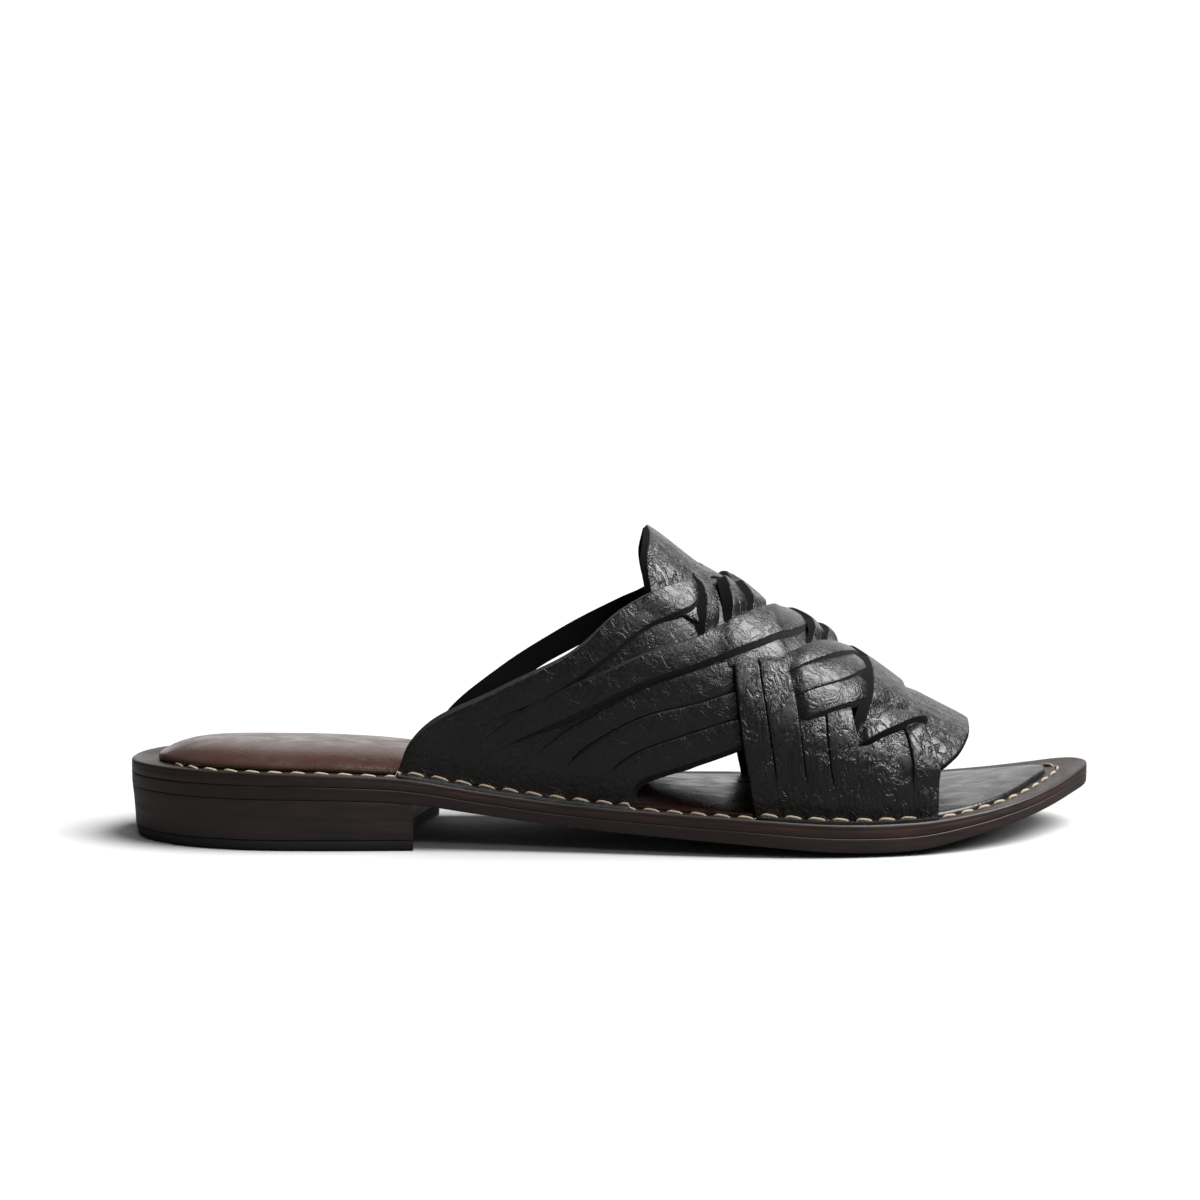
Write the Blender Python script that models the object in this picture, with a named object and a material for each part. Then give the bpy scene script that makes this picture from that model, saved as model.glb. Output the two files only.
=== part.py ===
"""Huarache sandal, right shoe: woven leather upper on a stitched-down leather sole with a stacked heel.

Metres, +Z up, toe to +X, lateral side to -Y. Tables give x as a share of LENGTH from the heel,
y as a share of WIDTH from the middle and z as a share of HEIGHT from the ground."""

import math

import bpy
import numpy as np

for old in list(bpy.data.objects):
    bpy.data.objects.remove(old, do_unlink=True)

LENGTH = 0.294
WIDTH = 0.094
HEIGHT = 0.096
LEATHER = 0.0017  # one strip
STEP = 0.0012  # how far an over strip stands above an under strip
GAP = 0.0003  # between pieces that meet
SLIT = 0.0004  # half of the cut between two strips
FLANGE = 0.0082  # from the sole's edge in to the wall
FOOTBED_INSET = 0.0092
FOOTBED_EDGE = 0.0012
FOOTBED_CROWN = 0.0046
BREAST = 0.298  # front of the heel, share of LENGTH
LIFT = 0.0030
ROUND = 2.25  # exponent of the instep's cross-section
MEDIAL_FORWARD = 0.020  # how much further forward the medial rear panel's top line stands, share of LENGTH
WALL_RUN = 0.060  # length of wall that one unit of v covers, for distances

# at, lateral edge, medial edge, rim height, thickness, how far the edge curls up
SOLE = (
    (0.0000, -0.0266, -0.0266, 0.2417, 0.0833, 0.0000),
    (0.0085, -0.1436, 0.0904, 0.2427, 0.0833, 0.0000),
    (0.0306, -0.2340, 0.1809, 0.2437, 0.0833, 0.0000),
    (0.0714, -0.3245, 0.2553, 0.2437, 0.0833, 0.0000),
    (0.1361, -0.3862, 0.3011, 0.2427, 0.0833, 0.0000),
    (0.2143, -0.3989, 0.3032, 0.2385, 0.0813, 0.0000),
    (0.2891, -0.3936, 0.2840, 0.2240, 0.0771, 0.0000),
    (0.3639, -0.3968, 0.2734, 0.1844, 0.0719, 0.0021),
    (0.4524, -0.4181, 0.2904, 0.1458, 0.0719, 0.0052),
    (0.5408, -0.4564, 0.3511, 0.1240, 0.0760, 0.0083),
    (0.6293, -0.4926, 0.4330, 0.1062, 0.0813, 0.0115),
    (0.7177, -0.5011, 0.4904, 0.0865, 0.0865, 0.0156),
    (0.7993, -0.4585, 0.4989, 0.0865, 0.0865, 0.0156),
    (0.8605, -0.3777, 0.4777, 0.1083, 0.0698, 0.0083),
    (0.9082, -0.2713, 0.4394, 0.1313, 0.0615, 0.0042),
    (0.9456, -0.1489, 0.3904, 0.1552, 0.0594, 0.0021),
    (0.9762, -0.0128, 0.3309, 0.1792, 0.0604, 0.0000),
    (0.9932, 0.0780, 0.2640, 0.1920, 0.0625, 0.0000),
    (1.0000, 0.1730, 0.1730, 0.1969, 0.0635, 0.0000),
)
# at, ridge y, ridge height, lateral bulge, medial bulge
LAST = (
    (0.2381, -0.0266, 1.2708, 0.0638, 0.0532),
    (0.3231, -0.0266, 1.2083, 0.0691, 0.0532),
    (0.4082, -0.0266, 1.1250, 0.0745, 0.0585),
    (0.4932, -0.0160, 1.0052, 0.0638, 0.0532),
    (0.5272, -0.0117, 0.9479, 0.0553, 0.0489),
    (0.5782, -0.0053, 0.8292, 0.0426, 0.0426),
    (0.6190, -0.0011, 0.7583, 0.0372, 0.0372),
    (0.6633, 0.0053, 0.6875, 0.0319, 0.0319),
    (0.7041, 0.0160, 0.6198, 0.0298, 0.0298),
    (0.7483, 0.0266, 0.5312, 0.0266, 0.0266),
    (0.7925, 0.0426, 0.4458, 0.0234, 0.0234),
    (0.8333, 0.0585, 0.3781, 0.0213, 0.0213),
    (0.8673, 0.0798, 0.3250, 0.0213, 0.0213),
    (0.8946, 0.0904, 0.2708, 0.0213, 0.0213),
)
# x of each strip edge on the lateral side at these shares of the way down from the ridge (0) to the sole (-1)
DOWN = (-1.0, -0.95, -0.9, -0.82, -0.7, -0.55, -0.4, -0.2, 0.0)
REAR_EDGE = {
    "1 top": (0.282, 0.296, 0.322, 0.382, 0.4535, 0.500, 0.541, 0.580, 0.597),
    "1 low": (0.323, 0.338, 0.360, 0.426, 0.4836, 0.531, 0.571, 0.593, 0.616),
    "3 top": (0.347, 0.355, 0.377, 0.423, 0.499, 0.562, 0.604, 0.643, 0.668),
    "3 low": (0.364, 0.373, 0.410, 0.468, 0.535, 0.597, 0.644, 0.682, 0.697),
    "5 top": (0.408, 0.414, 0.434, 0.479, 0.542, 0.604, 0.664, 0.702, 0.730),
    "5 low": (0.439, 0.448, 0.470, 0.517, 0.589, 0.649, 0.692, 0.727, 0.748),
    "6 low": (0.483, 0.491, 0.515, 0.567, 0.632, 0.687, 0.726, 0.751, 0.767),
    "7 low": (0.512, 0.526, 0.566, 0.618, 0.672, 0.722, 0.755, 0.776, 0.793),
}
FRONT_EDGE = {
    "1 top": (0.639, 0.635, 0.632, 0.627, 0.621, 0.615, 0.613, 0.607, 0.597),
    "1 low": (0.667, 0.663, 0.660, 0.656, 0.649, 0.641, 0.637, 0.632, 0.616),
    "2 low": (0.695, 0.692, 0.690, 0.686, 0.681, 0.673, 0.662, 0.654, 0.650),
    "3 top": (0.695, 0.693, 0.690, 0.687, 0.682, 0.680, 0.686, 0.695, 0.695),
    "3 low": (0.719, 0.717, 0.716, 0.712, 0.708, 0.706, 0.707, 0.710, 0.712),
    "4 low": (0.747, 0.745, 0.743, 0.741, 0.739, 0.733, 0.734, 0.735, 0.735),
    "5 top": (0.748, 0.746, 0.744, 0.742, 0.740, 0.749, 0.754, 0.757, 0.757),
    "5 low": (0.773, 0.7715, 0.7695, 0.7675, 0.765, 0.767, 0.771, 0.773, 0.774),
    "6 low": (0.798, 0.797, 0.795, 0.793, 0.790, 0.785, 0.788, 0.789, 0.791),
    "7 low": (0.821, 0.820, 0.820, 0.820, 0.818, 0.810, 0.801, 0.803, 0.806),
}
# the same on the medial side where it isn't the lateral line moved forward: the topmost strip runs further back there,
# with a slit below it
MEDIAL_EDGE = {
    "1 top": (0.300, 0.315, 0.337, 0.380, 0.442, 0.507, 0.553, 0.585, 0.597),
    "1 low": (0.341, 0.356, 0.376, 0.416, 0.480, 0.533, 0.577, 0.598, 0.616),
    "2 top": (0.341, 0.356, 0.378, 0.431, 0.496, 0.543, 0.580, 0.598, 0.616),
}
# A rear strip climbs from the lateral rear of the sole over the ridge to the medial front, a front strip from the
# lateral front over the ridge to the medial rear, where it follows the mirrored line of a rear strip.
# strip: top and low edge before the ridge, top and low edge after it, group, sink in shares of STEP
REAR_STRIPS = (
    ("1 top", "1 low", "1 top", "1 low", 0, 0.0),
    ("1 low", "3 top", "1 low", "2 low", 0, 0.4),
    ("3 top", "3 low", "3 top", "3 low", 1, 0.0),
    ("3 low", "5 top", "3 low", "4 low", 1, 0.4),
    ("5 top", "5 low", "5 top", "5 low", 2, 0.0),
    ("5 low", "6 low", "5 low", "6 low", 2, 0.0),
    ("6 low", "7 low", "6 low", "7 low", 2, 0.0),
)
FRONT_STRIPS = (
    ("1 top", "1 low", "1 top", "1 low", 0, 0.0),
    ("1 low", "2 low", "2 top", "3 top", 0, 0.0),
    ("3 top", "3 low", "3 top", "3 low", 1, 0.0),
    ("3 low", "4 low", "3 low", "5 top", 1, 0.0),
    ("5 top", "6 low", "5 top", "6 low", 2, 0.0),
    ("6 low", "7 low", "6 low", "7 low", 2, 0.0),
)
# rear group by front group: is the rear strip on top
REAR_OVER = ((0, 1, 0), (1, 0, 1), (0, 1, 0))
# arm: v and x of its two edges, from the flap out to the end under a strip
REAR_ARM = ((-0.10, 0.562, 0.594), (-0.22, 0.573, 0.594), (-0.34, 0.585, 0.601), (-0.46, 0.585, 0.602), (-0.56, 0.582, 0.600))
FRONT_ARM = (
    (0.812, -0.33, -0.44), (0.785, -0.41, -0.51), (0.760, -0.49, -0.61), (0.736, -0.61, -0.71), (0.712, -0.68, -0.78),
)
# flap: v, rear x, front x
REAR_FLAP = ((0.0, 0.528, 0.612), (-0.08, 0.528, 0.610), (-0.16, 0.529, 0.608), (-0.26, 0.528, 0.600), (-0.36, 0.529, 0.590), (-0.44, 0.532, 0.578))
FRONT_FLAP = ((0.0, 0.778, 0.866), (-0.16, 0.778, 0.863), (-0.34, 0.778, 0.857), (-0.50, 0.782, 0.848), (-0.62, 0.792, 0.837), (-0.73, 0.804, 0.819))


def smooth(x, xs, ys):
    """Cubic through a table's rows, with the slope at a row from its two neighbours."""
    x = np.clip(np.asarray(x, float), xs[0], xs[-1])
    xs = np.asarray(xs, float)
    ys = np.asarray(ys, float)
    chord = np.diff(ys) / np.diff(xs)
    slope = np.empty_like(ys)
    slope[1:-1] = (ys[2:] - ys[:-2]) / (xs[2:] - xs[:-2])
    slope[0] = chord[0]
    slope[-1] = chord[-1]
    k = np.clip(np.searchsorted(xs, x) - 1, 0, len(xs) - 2)
    h = xs[k + 1] - xs[k]
    t = (x - xs[k]) / h
    return (
        (2 * t**3 - 3 * t**2 + 1) * ys[k]
        + (t**3 - 2 * t**2 + t) * h * slope[k]
        + (3 * t**2 - 2 * t**3) * ys[k + 1]
        + (t**3 - t**2) * h * slope[k + 1]
    )


def column(table, k):
    return [row[k] for row in table]


def sole_at(x, k):
    """Column k of SOLE at x metres from the heel, in metres."""
    scale = WIDTH if k in (1, 2) else HEIGHT
    return smooth(np.asarray(x) / LENGTH, column(SOLE, 0), column(SOLE, k)) * scale


def curl(x, y):
    """How far the sole rises towards its edge at x, y."""
    lateral = sole_at(x, 1)
    medial = sole_at(x, 2)
    middle = (lateral + medial) / 2
    share = np.abs(y - middle) / np.maximum((medial - lateral) / 2, 1e-4)
    return sole_at(x, 5) * np.clip((share - 0.45) / 0.55, 0, 1) ** 2


def last(x, v, off=0.0):
    """Point of the instep's surface at x, v of the way from the ridge to the lateral (-1) or medial (+1) rim."""
    x = np.asarray(x, float)
    v = np.asarray(v, float)

    def place(x, v):
        at = column(LAST, 0)
        ridge_y = smooth(x / LENGTH, at, column(LAST, 1)) * WIDTH
        ridge_z = smooth(x / LENGTH, at, column(LAST, 2)) * HEIGHT
        bulge = np.where(v < 0, smooth(x / LENGTH, at, column(LAST, 3)), smooth(x / LENGTH, at, column(LAST, 4)))
        base = np.where(v < 0, sole_at(x, 1) + FLANGE, sole_at(x, 2) - FLANGE)
        base_z = sole_at(x, 3) + curl(x, base)
        f = (1 - np.minimum(np.abs(v), 1)) * math.pi / 2
        c = np.clip(np.cos(f), 0, 1) ** (2 / ROUND)
        s = np.clip(np.sin(f), 0, 1) ** (2 / ROUND)
        y = ridge_y + (base - ridge_y) * c + np.sign(v) * bulge * WIDTH * np.sin(2 * f)
        z = base_z + (ridge_z - base_z) * s
        return np.stack([x + 0 * y, y, z], -1)

    point = place(x, v)
    if np.any(off):
        side = np.where(v < 0, -1.0, 1.0)
        a = np.clip(np.abs(v), 0.02, 0.98)
        along = place(x + 5e-4, side * a) - place(x - 5e-4, side * a)
        down = (place(x, side * (a + 0.02)) - place(x, side * (a - 0.02))) * side[..., None]
        normal = np.cross(along, down)
        normal /= np.linalg.norm(normal, axis=-1, keepdims=True)
        normal *= np.sign(normal[..., 2:3] * (a < 0.9)[..., None] + normal[..., 1:2] * (side * (a >= 0.9))[..., None])
        blend = np.clip(np.abs(v) / 0.06, 0, 1)[..., None]
        up = normal * [1, 0, 1]
        up /= np.linalg.norm(up, axis=-1, keepdims=True)
        normal = normal * blend + up * (1 - blend)
        normal /= np.linalg.norm(normal, axis=-1, keepdims=True)
        point = point + normal * np.asarray(off)[..., None]
    return point


def edge(own, other, before, after):
    """Function from v to x, in metres, of a strip's edge on both sides of the ridge."""
    medial = MEDIAL_EDGE.get(after) if other is REAR_EDGE else None
    forward = MEDIAL_FORWARD if other is REAR_EDGE and medial is None else 0.0
    row = medial or other[after]
    step = own[before][-1] - row[-1]

    def at(v):
        v = np.asarray(v, float)
        near = smooth(np.minimum(v, 0), DOWN, own[before])
        far = smooth(-np.maximum(v, 0), DOWN, row)
        far = far + step * np.clip(1 - v / 0.5, 0, 1) ** 2 + forward * np.sin(math.pi / 2 * np.clip(v / 0.5, 0, 1))
        return np.where(v <= 0, near, far) * LENGTH

    return at


def strips(table, own, other):
    return [(edge(own, other, r[0], r[2]), edge(own, other, r[1], r[3]), r[4], r[5]) for r in table]


REAR = strips(REAR_STRIPS, REAR_EDGE, FRONT_EDGE)
FRONT = strips(FRONT_STRIPS, FRONT_EDGE, REAR_EDGE)


def steep(curve, v):
    """Factor from a distance along x to one square to the edge, and the edge's slope."""
    slope = (curve(np.clip(v + 0.01, -1, 1)) - curve(np.clip(v - 0.01, -1, 1))) / 0.02 / WALL_RUN
    return 1 / np.sqrt(1 + slope**2)


def lift(x, v, kind, group, sink):
    """Height of a strip above the instep's surface: up over the strips it covers and down under the others."""
    others = FRONT if kind == "rear" else REAR
    total = np.full(np.shape(x), 1e-6)
    value = total * 0.5
    for top, low, other_group, _ in others:
        inside = np.minimum((x - top(v)) * steep(top, v), (low(v) - x) * steep(low, v))
        weight = np.clip(0.5 + inside / 0.0030, 0, 1)
        weight = weight**2 * (3 - 2 * weight) + 1e-5 * np.exp(inside / 0.004)
        over = REAR_OVER[group][other_group] if kind == "rear" else 1 - REAR_OVER[other_group][group]
        total += weight
        value += weight * over
    return STEP * np.clip(value / total - sink * 0.8, 0, 1) + STEP * sink * 0.0


def solid(name, points, faces, smooth_shade=True):
    mesh = bpy.data.meshes.new(name)
    mesh.from_pydata([tuple(p) for p in points], [], [tuple(int(i) for i in f) for f in faces])
    mesh.validate()
    mesh.shade_smooth() if smooth_shade else mesh.shade_flat()
    ob = bpy.data.objects.new(name, mesh)
    bpy.context.collection.objects.link(ob)
    return ob


def tube(sections, closed=False):
    """Solid through equal rings of points, capped at both ends."""
    n = len(sections)
    m = len(sections[0])
    points = np.concatenate(sections)
    faces = []
    for a in range(n if closed else n - 1):
        b = (a + 1) % n
        for k in range(m):
            j = (k + 1) % m
            faces.append((a * m + k, a * m + j, b * m + j, b * m + k))
    if not closed:
        faces.append(tuple(range(m))[::-1])
        faces.append(tuple(range((n - 1) * m, n * m)))
    return points, faces


def outward(ob):
    """Turn a closed mesh the right way out."""
    import bmesh

    work = bmesh.new()
    work.from_mesh(ob.data)
    bmesh.ops.recalc_face_normals(work, faces=work.faces)
    if work.calc_volume(signed=True) < 0:
        bmesh.ops.reverse_faces(work, faces=work.faces)
    work.to_mesh(ob.data)
    work.free()
    return ob


def strip_solid(name, strip, kind, start, stop, count, across=2):
    """One woven strip as a band of leather that follows the instep and rises over the strips it covers."""
    top, low, group, sink = strip
    v = np.linspace(start, stop, 1201)
    lines = []
    for curve, side in ((top, 1), (low, -1)):
        x = curve(v)
        run = np.concatenate([[0], np.cumsum(np.hypot(np.diff(x), WALL_RUN * np.diff(v)))])
        mid = np.interp(0.0, v, run)
        before = np.linspace(0, mid, count // 2 + 1)
        after = np.linspace(mid, run[-1], count - count // 2 + 1)[1:]
        vs = np.interp(np.concatenate([before, after]), run, v)
        cut = SLIT + sink * 0.0
        lines.append((curve(vs) + side * cut / steep(curve, vs), vs))
    rings = []
    for k in range(count + 1):
        share = np.linspace(0, 1, across)
        x = lines[0][0][k] * (1 - share) + lines[1][0][k] * share
        w = lines[0][1][k] * (1 - share) + lines[1][1][k] * share
        height = lift(x, w, kind, group, sink)
        inner = last(x, w, height)
        outer = last(x, w, height + LEATHER)
        rings.append(np.concatenate([inner, outer[::-1]]))
    return outward(solid(name, *tube(rings)))


def patch_solid(name, rows, low, high, mirror=True):
    """Flap across the ridge: rows of v, rear x and front x, mirrored to the medial side."""
    rows = [r for r in rows[::-1]] + [(-r[0], r[1], r[2]) for r in rows[1:]] if mirror else list(rows)
    inner = []
    outer = []
    for v, rear, front in rows:
        x = np.linspace(rear, front, 5) * LENGTH
        inner.append(last(x, np.full(5, v), low))
        outer.append(last(x, np.full(5, v), high))
    rings = [np.concatenate([a, b[::-1]]) for a, b in zip(inner, outer)]
    return outward(solid(name, *tube(rings)))


def band(name, x0, x1, top_v, side, x0_top, x1_top, count=14, low=0.0, high=LEATHER, rise=0.0):
    """Foot of a panel: its flange turned out over the rim and the wall above it."""
    rings = []
    for k in range(count + 1):
        t = k / count
        x = (x0 + (x1 - x0) * t) * LENGTH
        xt = (x0_top + (x1_top - x0_top) * t) * LENGTH
        edge_y = sole_at(x, 1 if side < 0 else 2)
        wall = float(edge_y) - side * FLANGE
        z = float(sole_at(x, 3) + curl(x, wall)) + rise
        z_out = float(sole_at(x, 3) + curl(x, float(edge_y))) + rise
        out_y = float(edge_y) - side * 0.0005
        upper_in = last(xt, side * -top_v, low)
        upper_out = last(xt, side * -top_v, high)
        mid_out = last((x + xt) / 2, side * (1 - (1 + top_v) * 0.45), high)
        mid_in = last((x + xt) / 2, side * (1 - (1 + top_v) * 0.45), low)
        rings.append(
            np.array(
                [
                    [x, out_y, z_out - FLANGE_SEAT],
                    [x, out_y, z_out - FLANGE_SEAT + LEATHER],
                    [x, wall + side * (high + 0.0008), z - FLANGE_SEAT + LEATHER],
                    mid_out,
                    upper_out,
                    upper_in,
                    mid_in,
                    [x, wall + side * low, z - FLANGE_SEAT],
                ]
            )
        )
    return outward(solid(name, *tube(rings)))


FLANGE_SEAT = 0.0009  # how deep the flange sits in the rim


def boolean(ob, other, operation):
    before = len(ob.data.vertices)
    mod = ob.modifiers.new("cut", "BOOLEAN")
    mod.operation = operation
    mod.solver = "MANIFOLD"
    mod.object = other
    deps = bpy.context.evaluated_depsgraph_get()
    mesh = bpy.data.meshes.new_from_object(ob.evaluated_get(deps))
    ob.modifiers.clear()
    ob.data = mesh
    print(operation, ob.name, other.name, before, len(mesh.vertices))
    bpy.data.objects.remove(other, do_unlink=True)
    return ob


def outer_shell(ob):
    """Fill the pockets that are closed in between strips: keep the outermost surface only."""
    import bmesh

    work = bmesh.new()
    work.from_mesh(ob.data)
    bmesh.ops.triangulate(work, faces=work.faces)
    left = set(work.faces)
    shells = []
    while left:
        seed = left.pop()
        shell = [seed]
        stack = [seed]
        while stack:
            face = stack.pop()
            for e in face.edges:
                for other in e.link_faces:
                    if other in left:
                        left.remove(other)
                        shell.append(other)
                        stack.append(other)
        shells.append(shell)
    shells.sort(key=len)
    print("shells", [len(shell) for shell in shells])
    inner = [face for shell in shells[:-1] for face in shell]
    bmesh.ops.delete(work, geom=inner, context="FACES")
    loose = [vert for vert in work.verts if not vert.link_faces]
    bmesh.ops.delete(work, geom=loose, context="VERTS")
    work.to_mesh(ob.data)
    work.free()
    return ob


def build_upper():
    pieces = []
    for k, strip in enumerate(REAR):
        pieces.append(strip_solid(f"rear strip {k}", strip, "rear", -0.985, 0.985, 24))
    for k, strip in enumerate(FRONT):
        pieces.append(strip_solid(f"front strip {k}", strip, "front", -0.985, 0.985, 24))
    for side in (-1, 1):
        ahead = MEDIAL_FORWARD if side > 0 else 0.0
        pieces.append(band(f"rear foot {side}", 0.283 + ahead, 0.511 + ahead, -0.945, side, 0.298 + ahead, 0.527 + ahead))
        pieces.append(band(f"front foot {side}", 0.640, 0.8205, -0.905, side, 0.6335, 0.8195))
        rows = [(side * -r[0], r[1], r[2]) for r in REAR_ARM]
        pieces.append(arm(f"rear arm {side}", rows, "v"))
        rows = [(r[0], side * -r[1], side * -r[2]) for r in FRONT_ARM]
        pieces.append(arm(f"front arm {side}", rows, "x"))
    pieces.append(patch_solid("rear flap", REAR_FLAP, 0.0003, LEATHER + 0.0003))
    pieces.append(patch_solid("front flap", FRONT_FLAP, 0.0003, LEATHER + 0.0003))
    upper = pieces[0]
    for piece in pieces[1:]:
        upper = boolean(upper, piece, "UNION")
    upper.name = "upper"
    return outer_shell(upper)


def arm(name, rows, along):
    """Flap's arm over a few strips, with its end under a strip."""
    rings = []
    for k, row in enumerate(rows):
        share = k / (len(rows) - 1)
        height = STEP * (1.25 if 0.1 < share < 0.8 else (0.3 if share >= 0.8 else 0.6))
        t = np.linspace(0, 1, 3)
        if along == "v":
            x = (row[1] + (row[2] - row[1]) * t) * LENGTH
            v = np.full(3, row[0])
        else:
            x = np.full(3, row[0] * LENGTH)
            v = row[1] + (row[2] - row[1]) * t
        rings.append(np.concatenate([last(x, v, height), last(x, v, height + LEATHER)[::-1]]))
    return outward(solid(name, *tube(rings)))


def outline(inset, count=6):
    """Lateral and medial halves of the sole's outline, moved in by inset, from the heel's back to the toe's tip."""
    halves = []
    for k in (1, 2):
        halves.append([(r[0] * LENGTH, r[k] * WIDTH) for r in SOLE])
    loop = np.array(halves[0] + halves[1][-2:0:-1])
    n = len(loop)
    knots = np.concatenate([[0], np.cumsum(np.linalg.norm(np.roll(loop, -1, 0) - loop, axis=1) ** 0.5)])
    ext = np.concatenate([loop[-2:], loop, loop[:3]])
    ext_knots = np.concatenate([knots[-3:-1] - knots[-1], knots[:-1], knots[-1] + knots[:3]])
    at = np.concatenate([np.linspace(knots[k], knots[k + 1], count + 1)[:-1] for k in range(n)])
    fine = at[:, None] + np.array([-1e-4, 0, 1e-4])
    xy = np.stack([smooth(fine, ext_knots, ext[:, 0]), smooth(fine, ext_knots, ext[:, 1])], -1)
    tangent = xy[:, 2] - xy[:, 0]
    tangent /= np.linalg.norm(tangent, axis=1, keepdims=True)
    points = xy[:, 1] + np.stack([-tangent[:, 1], tangent[:, 0]], -1) * inset
    half = len(points) // 2
    lateral = points[: half + 1]
    medial = np.concatenate([points[:1], points[half:][::-1]])
    return lateral, medial


def slab(name, inset, low, high, shares=(1.0, 0.80, 0.45), count=2, low_inset=None):
    """Layer of the sole between two heights, which are functions of x, y and the share out from the middle."""
    rings = []
    for which in (0, 1):
        lateral, medial = outline(inset if which or low_inset is None else low_inset, count)
        half = len(lateral)
        loop = np.concatenate([lateral, medial[-2:0:-1]])
        middle = (lateral + medial) / 2
        spine = np.concatenate([middle, middle[-2:0:-1]])
        spine[:, 0] = np.clip(spine[:, 0], loop[:, 0].min() + 0.022, loop[:, 0].max() - 0.022)
        spine[:, 1] = np.interp(spine[:, 0], middle[:, 0], middle[:, 1])
        for share in shares:
            xy = spine + (loop - spine) * share
            z = (low, high)[which](xy[:, 0], xy[:, 1], share)
            rings.append(np.column_stack([xy, z]))
        z = (low, high)[which](spine[:, 0], spine[:, 1], 0.0)
        rings.append(np.column_stack([spine, z]))
    m = len(rings[0])
    s = len(shares) + 1
    points = np.concatenate(rings)
    faces = []
    for which, order in ((0, 1), (1, -1)):
        for a in range(s - 1):
            for k in range(m):
                j = (k + 1) % m
                r = (which * s + a) * m
                q = (which * s + a + 1) * m
                faces.append((r + k, r + j, q + j, q + k)[::order])
    for k in range(m):
        j = (k + 1) % m
        faces.append((k, s * m + k, s * m + j, j))
    ob = solid(name, points, faces)
    import bmesh

    work = bmesh.new()
    work.from_mesh(ob.data)
    bmesh.ops.remove_doubles(work, verts=work.verts, dist=1e-5)
    bmesh.ops.dissolve_degenerate(work, edges=work.edges, dist=1e-6)
    work.to_mesh(ob.data)
    work.free()
    return outward(ob)


def rim(x, y, share=1.0):
    return sole_at(x, 3) + curl(x, y)


def under(x, y, share=1.0):
    """Bottom of the outsole, flat on the ground under the ball of the foot."""
    return np.maximum(rim(x, y) - sole_at(x, 4), 0)


def build_sole():
    middle = 0.5
    midsole = slab("midsole", 0.0002, lambda x, y, s: rim(x, y) - sole_at(x, 4) * middle + GAP / 2, rim)
    for side in (-1, 1):
        ahead = MEDIAL_FORWARD if side > 0 else 0.0
        for x0, x1 in ((0.283 + ahead, 0.511 + ahead), (0.640, 0.8205)):
            seat = slot(f"seat {side} {x0}", x0 - 0.0015, x1 + 0.0015, side)
            midsole = boolean(midsole, seat, "DIFFERENCE")
    outsole = slab("outsole", 0.0, under, lambda x, y, s: rim(x, y) - sole_at(x, 4) * middle - GAP / 2)
    insole = slab(
        "insole",
        FOOTBED_INSET,
        lambda x, y, s: rim(x, y) + GAP,
        lambda x, y, s: rim(x, y) + GAP + FOOTBED_EDGE + FOOTBED_CROWN * (1 - s**2) * (0.55 + 0.45 * np.cos(
            np.clip(x / LENGTH - 0.2, 0, 0.6) * math.pi / 0.6)),
    )
    return midsole, outsole, insole


def slot(name, x0, x1, side, count=12):
    rings = []
    for k in range(count + 1):
        x = (x0 + (x1 - x0) * k / count) * LENGTH
        edge_y = float(sole_at(x, 1 if side < 0 else 2))
        inner = edge_y - side * (FLANGE + 0.0006)
        z_in = float(sole_at(x, 3) + curl(x, inner)) - FLANGE_SEAT - GAP
        z_out = float(sole_at(x, 3) + curl(x, edge_y)) - FLANGE_SEAT - GAP
        out_y = edge_y + side * 0.003
        rings.append(
            np.array([[x, out_y, z_out], [x, out_y, z_out + 0.004], [x, inner, z_in + 0.004], [x, inner, z_in]])
        )
    return outward(solid(name, *tube(rings)))


def heel_layer(name, top, bottom, inset_top, inset_bottom):
    """Piece of the heel under the sole: the sole's outline behind the breast."""
    rings = []
    for inset, height in ((inset_bottom, bottom), (inset_top, top)):
        lateral, medial = outline(inset, 2)
        loop = np.concatenate([lateral[::-1], medial[1:]])
        breast = BREAST * LENGTH
        keep = loop[loop[:, 0] < breast - 0.004]
        y0 = float(np.interp(breast, lateral[:, 0], lateral[:, 1]))
        y1 = float(np.interp(breast + 0.004, medial[:, 0], medial[:, 1]))
        front = []
        for t in np.linspace(0, 1, 7):
            front.append((breast + 0.004 * t - 0.0035 * math.sin(math.pi * t), y0 + (y1 - y0) * t))
        ring = np.concatenate([keep, np.array(front)[::-1]])
        rings.append(np.column_stack([ring, height(ring[:, 0], ring[:, 1])]))
    return rings


def build_heel():
    layers = []
    for name, top, bottom, inset_top, inset_bottom in (
        ("heel_block", lambda x, y: under(x, y) - GAP, lambda x, y: x * 0 + LIFT + GAP, 0.0006, 0.0016),
        ("heel_lift", lambda x, y: x * 0 + LIFT, lambda x, y: x * 0, 0.0013, 0.0018),
    ):
        low, high = heel_layer(name, top, bottom, inset_top, inset_bottom)
        n = len(low)
        centre = low[:, :2].mean(0)
        rings = [low, high]
        grid = []
        for ring, height in ((low, bottom), (high, top)):
            for share in (1.0, 0.5):
                xy = centre + (ring[:, :2] - centre) * share
                grid.append(np.column_stack([xy, height(xy[:, 0], xy[:, 1])]))
            xy = centre[None]
            grid.append(np.column_stack([xy, height(xy[:, 0], xy[:, 1])]))
        points = np.concatenate(grid)
        faces = []
        block = 2 * n + 1
        for which, order in ((0, -1), (1, 1)):
            base = which * block
            for a in range(1):
                for k in range(n):
                    j = (k + 1) % n
                    faces.append((base + a * n + k, base + a * n + j, base + (a + 1) * n + j, base + (a + 1) * n + k)[::order])
            for k in range(n):
                j = (k + 1) % n
                faces.append((base + n + k, base + n + j, base + 2 * n)[::order])
        for k in range(n):
            j = (k + 1) % n
            faces.append((k, j, block + j, block + k))
        layers.append(outward(solid(name, points, faces)))
    return layers


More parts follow.
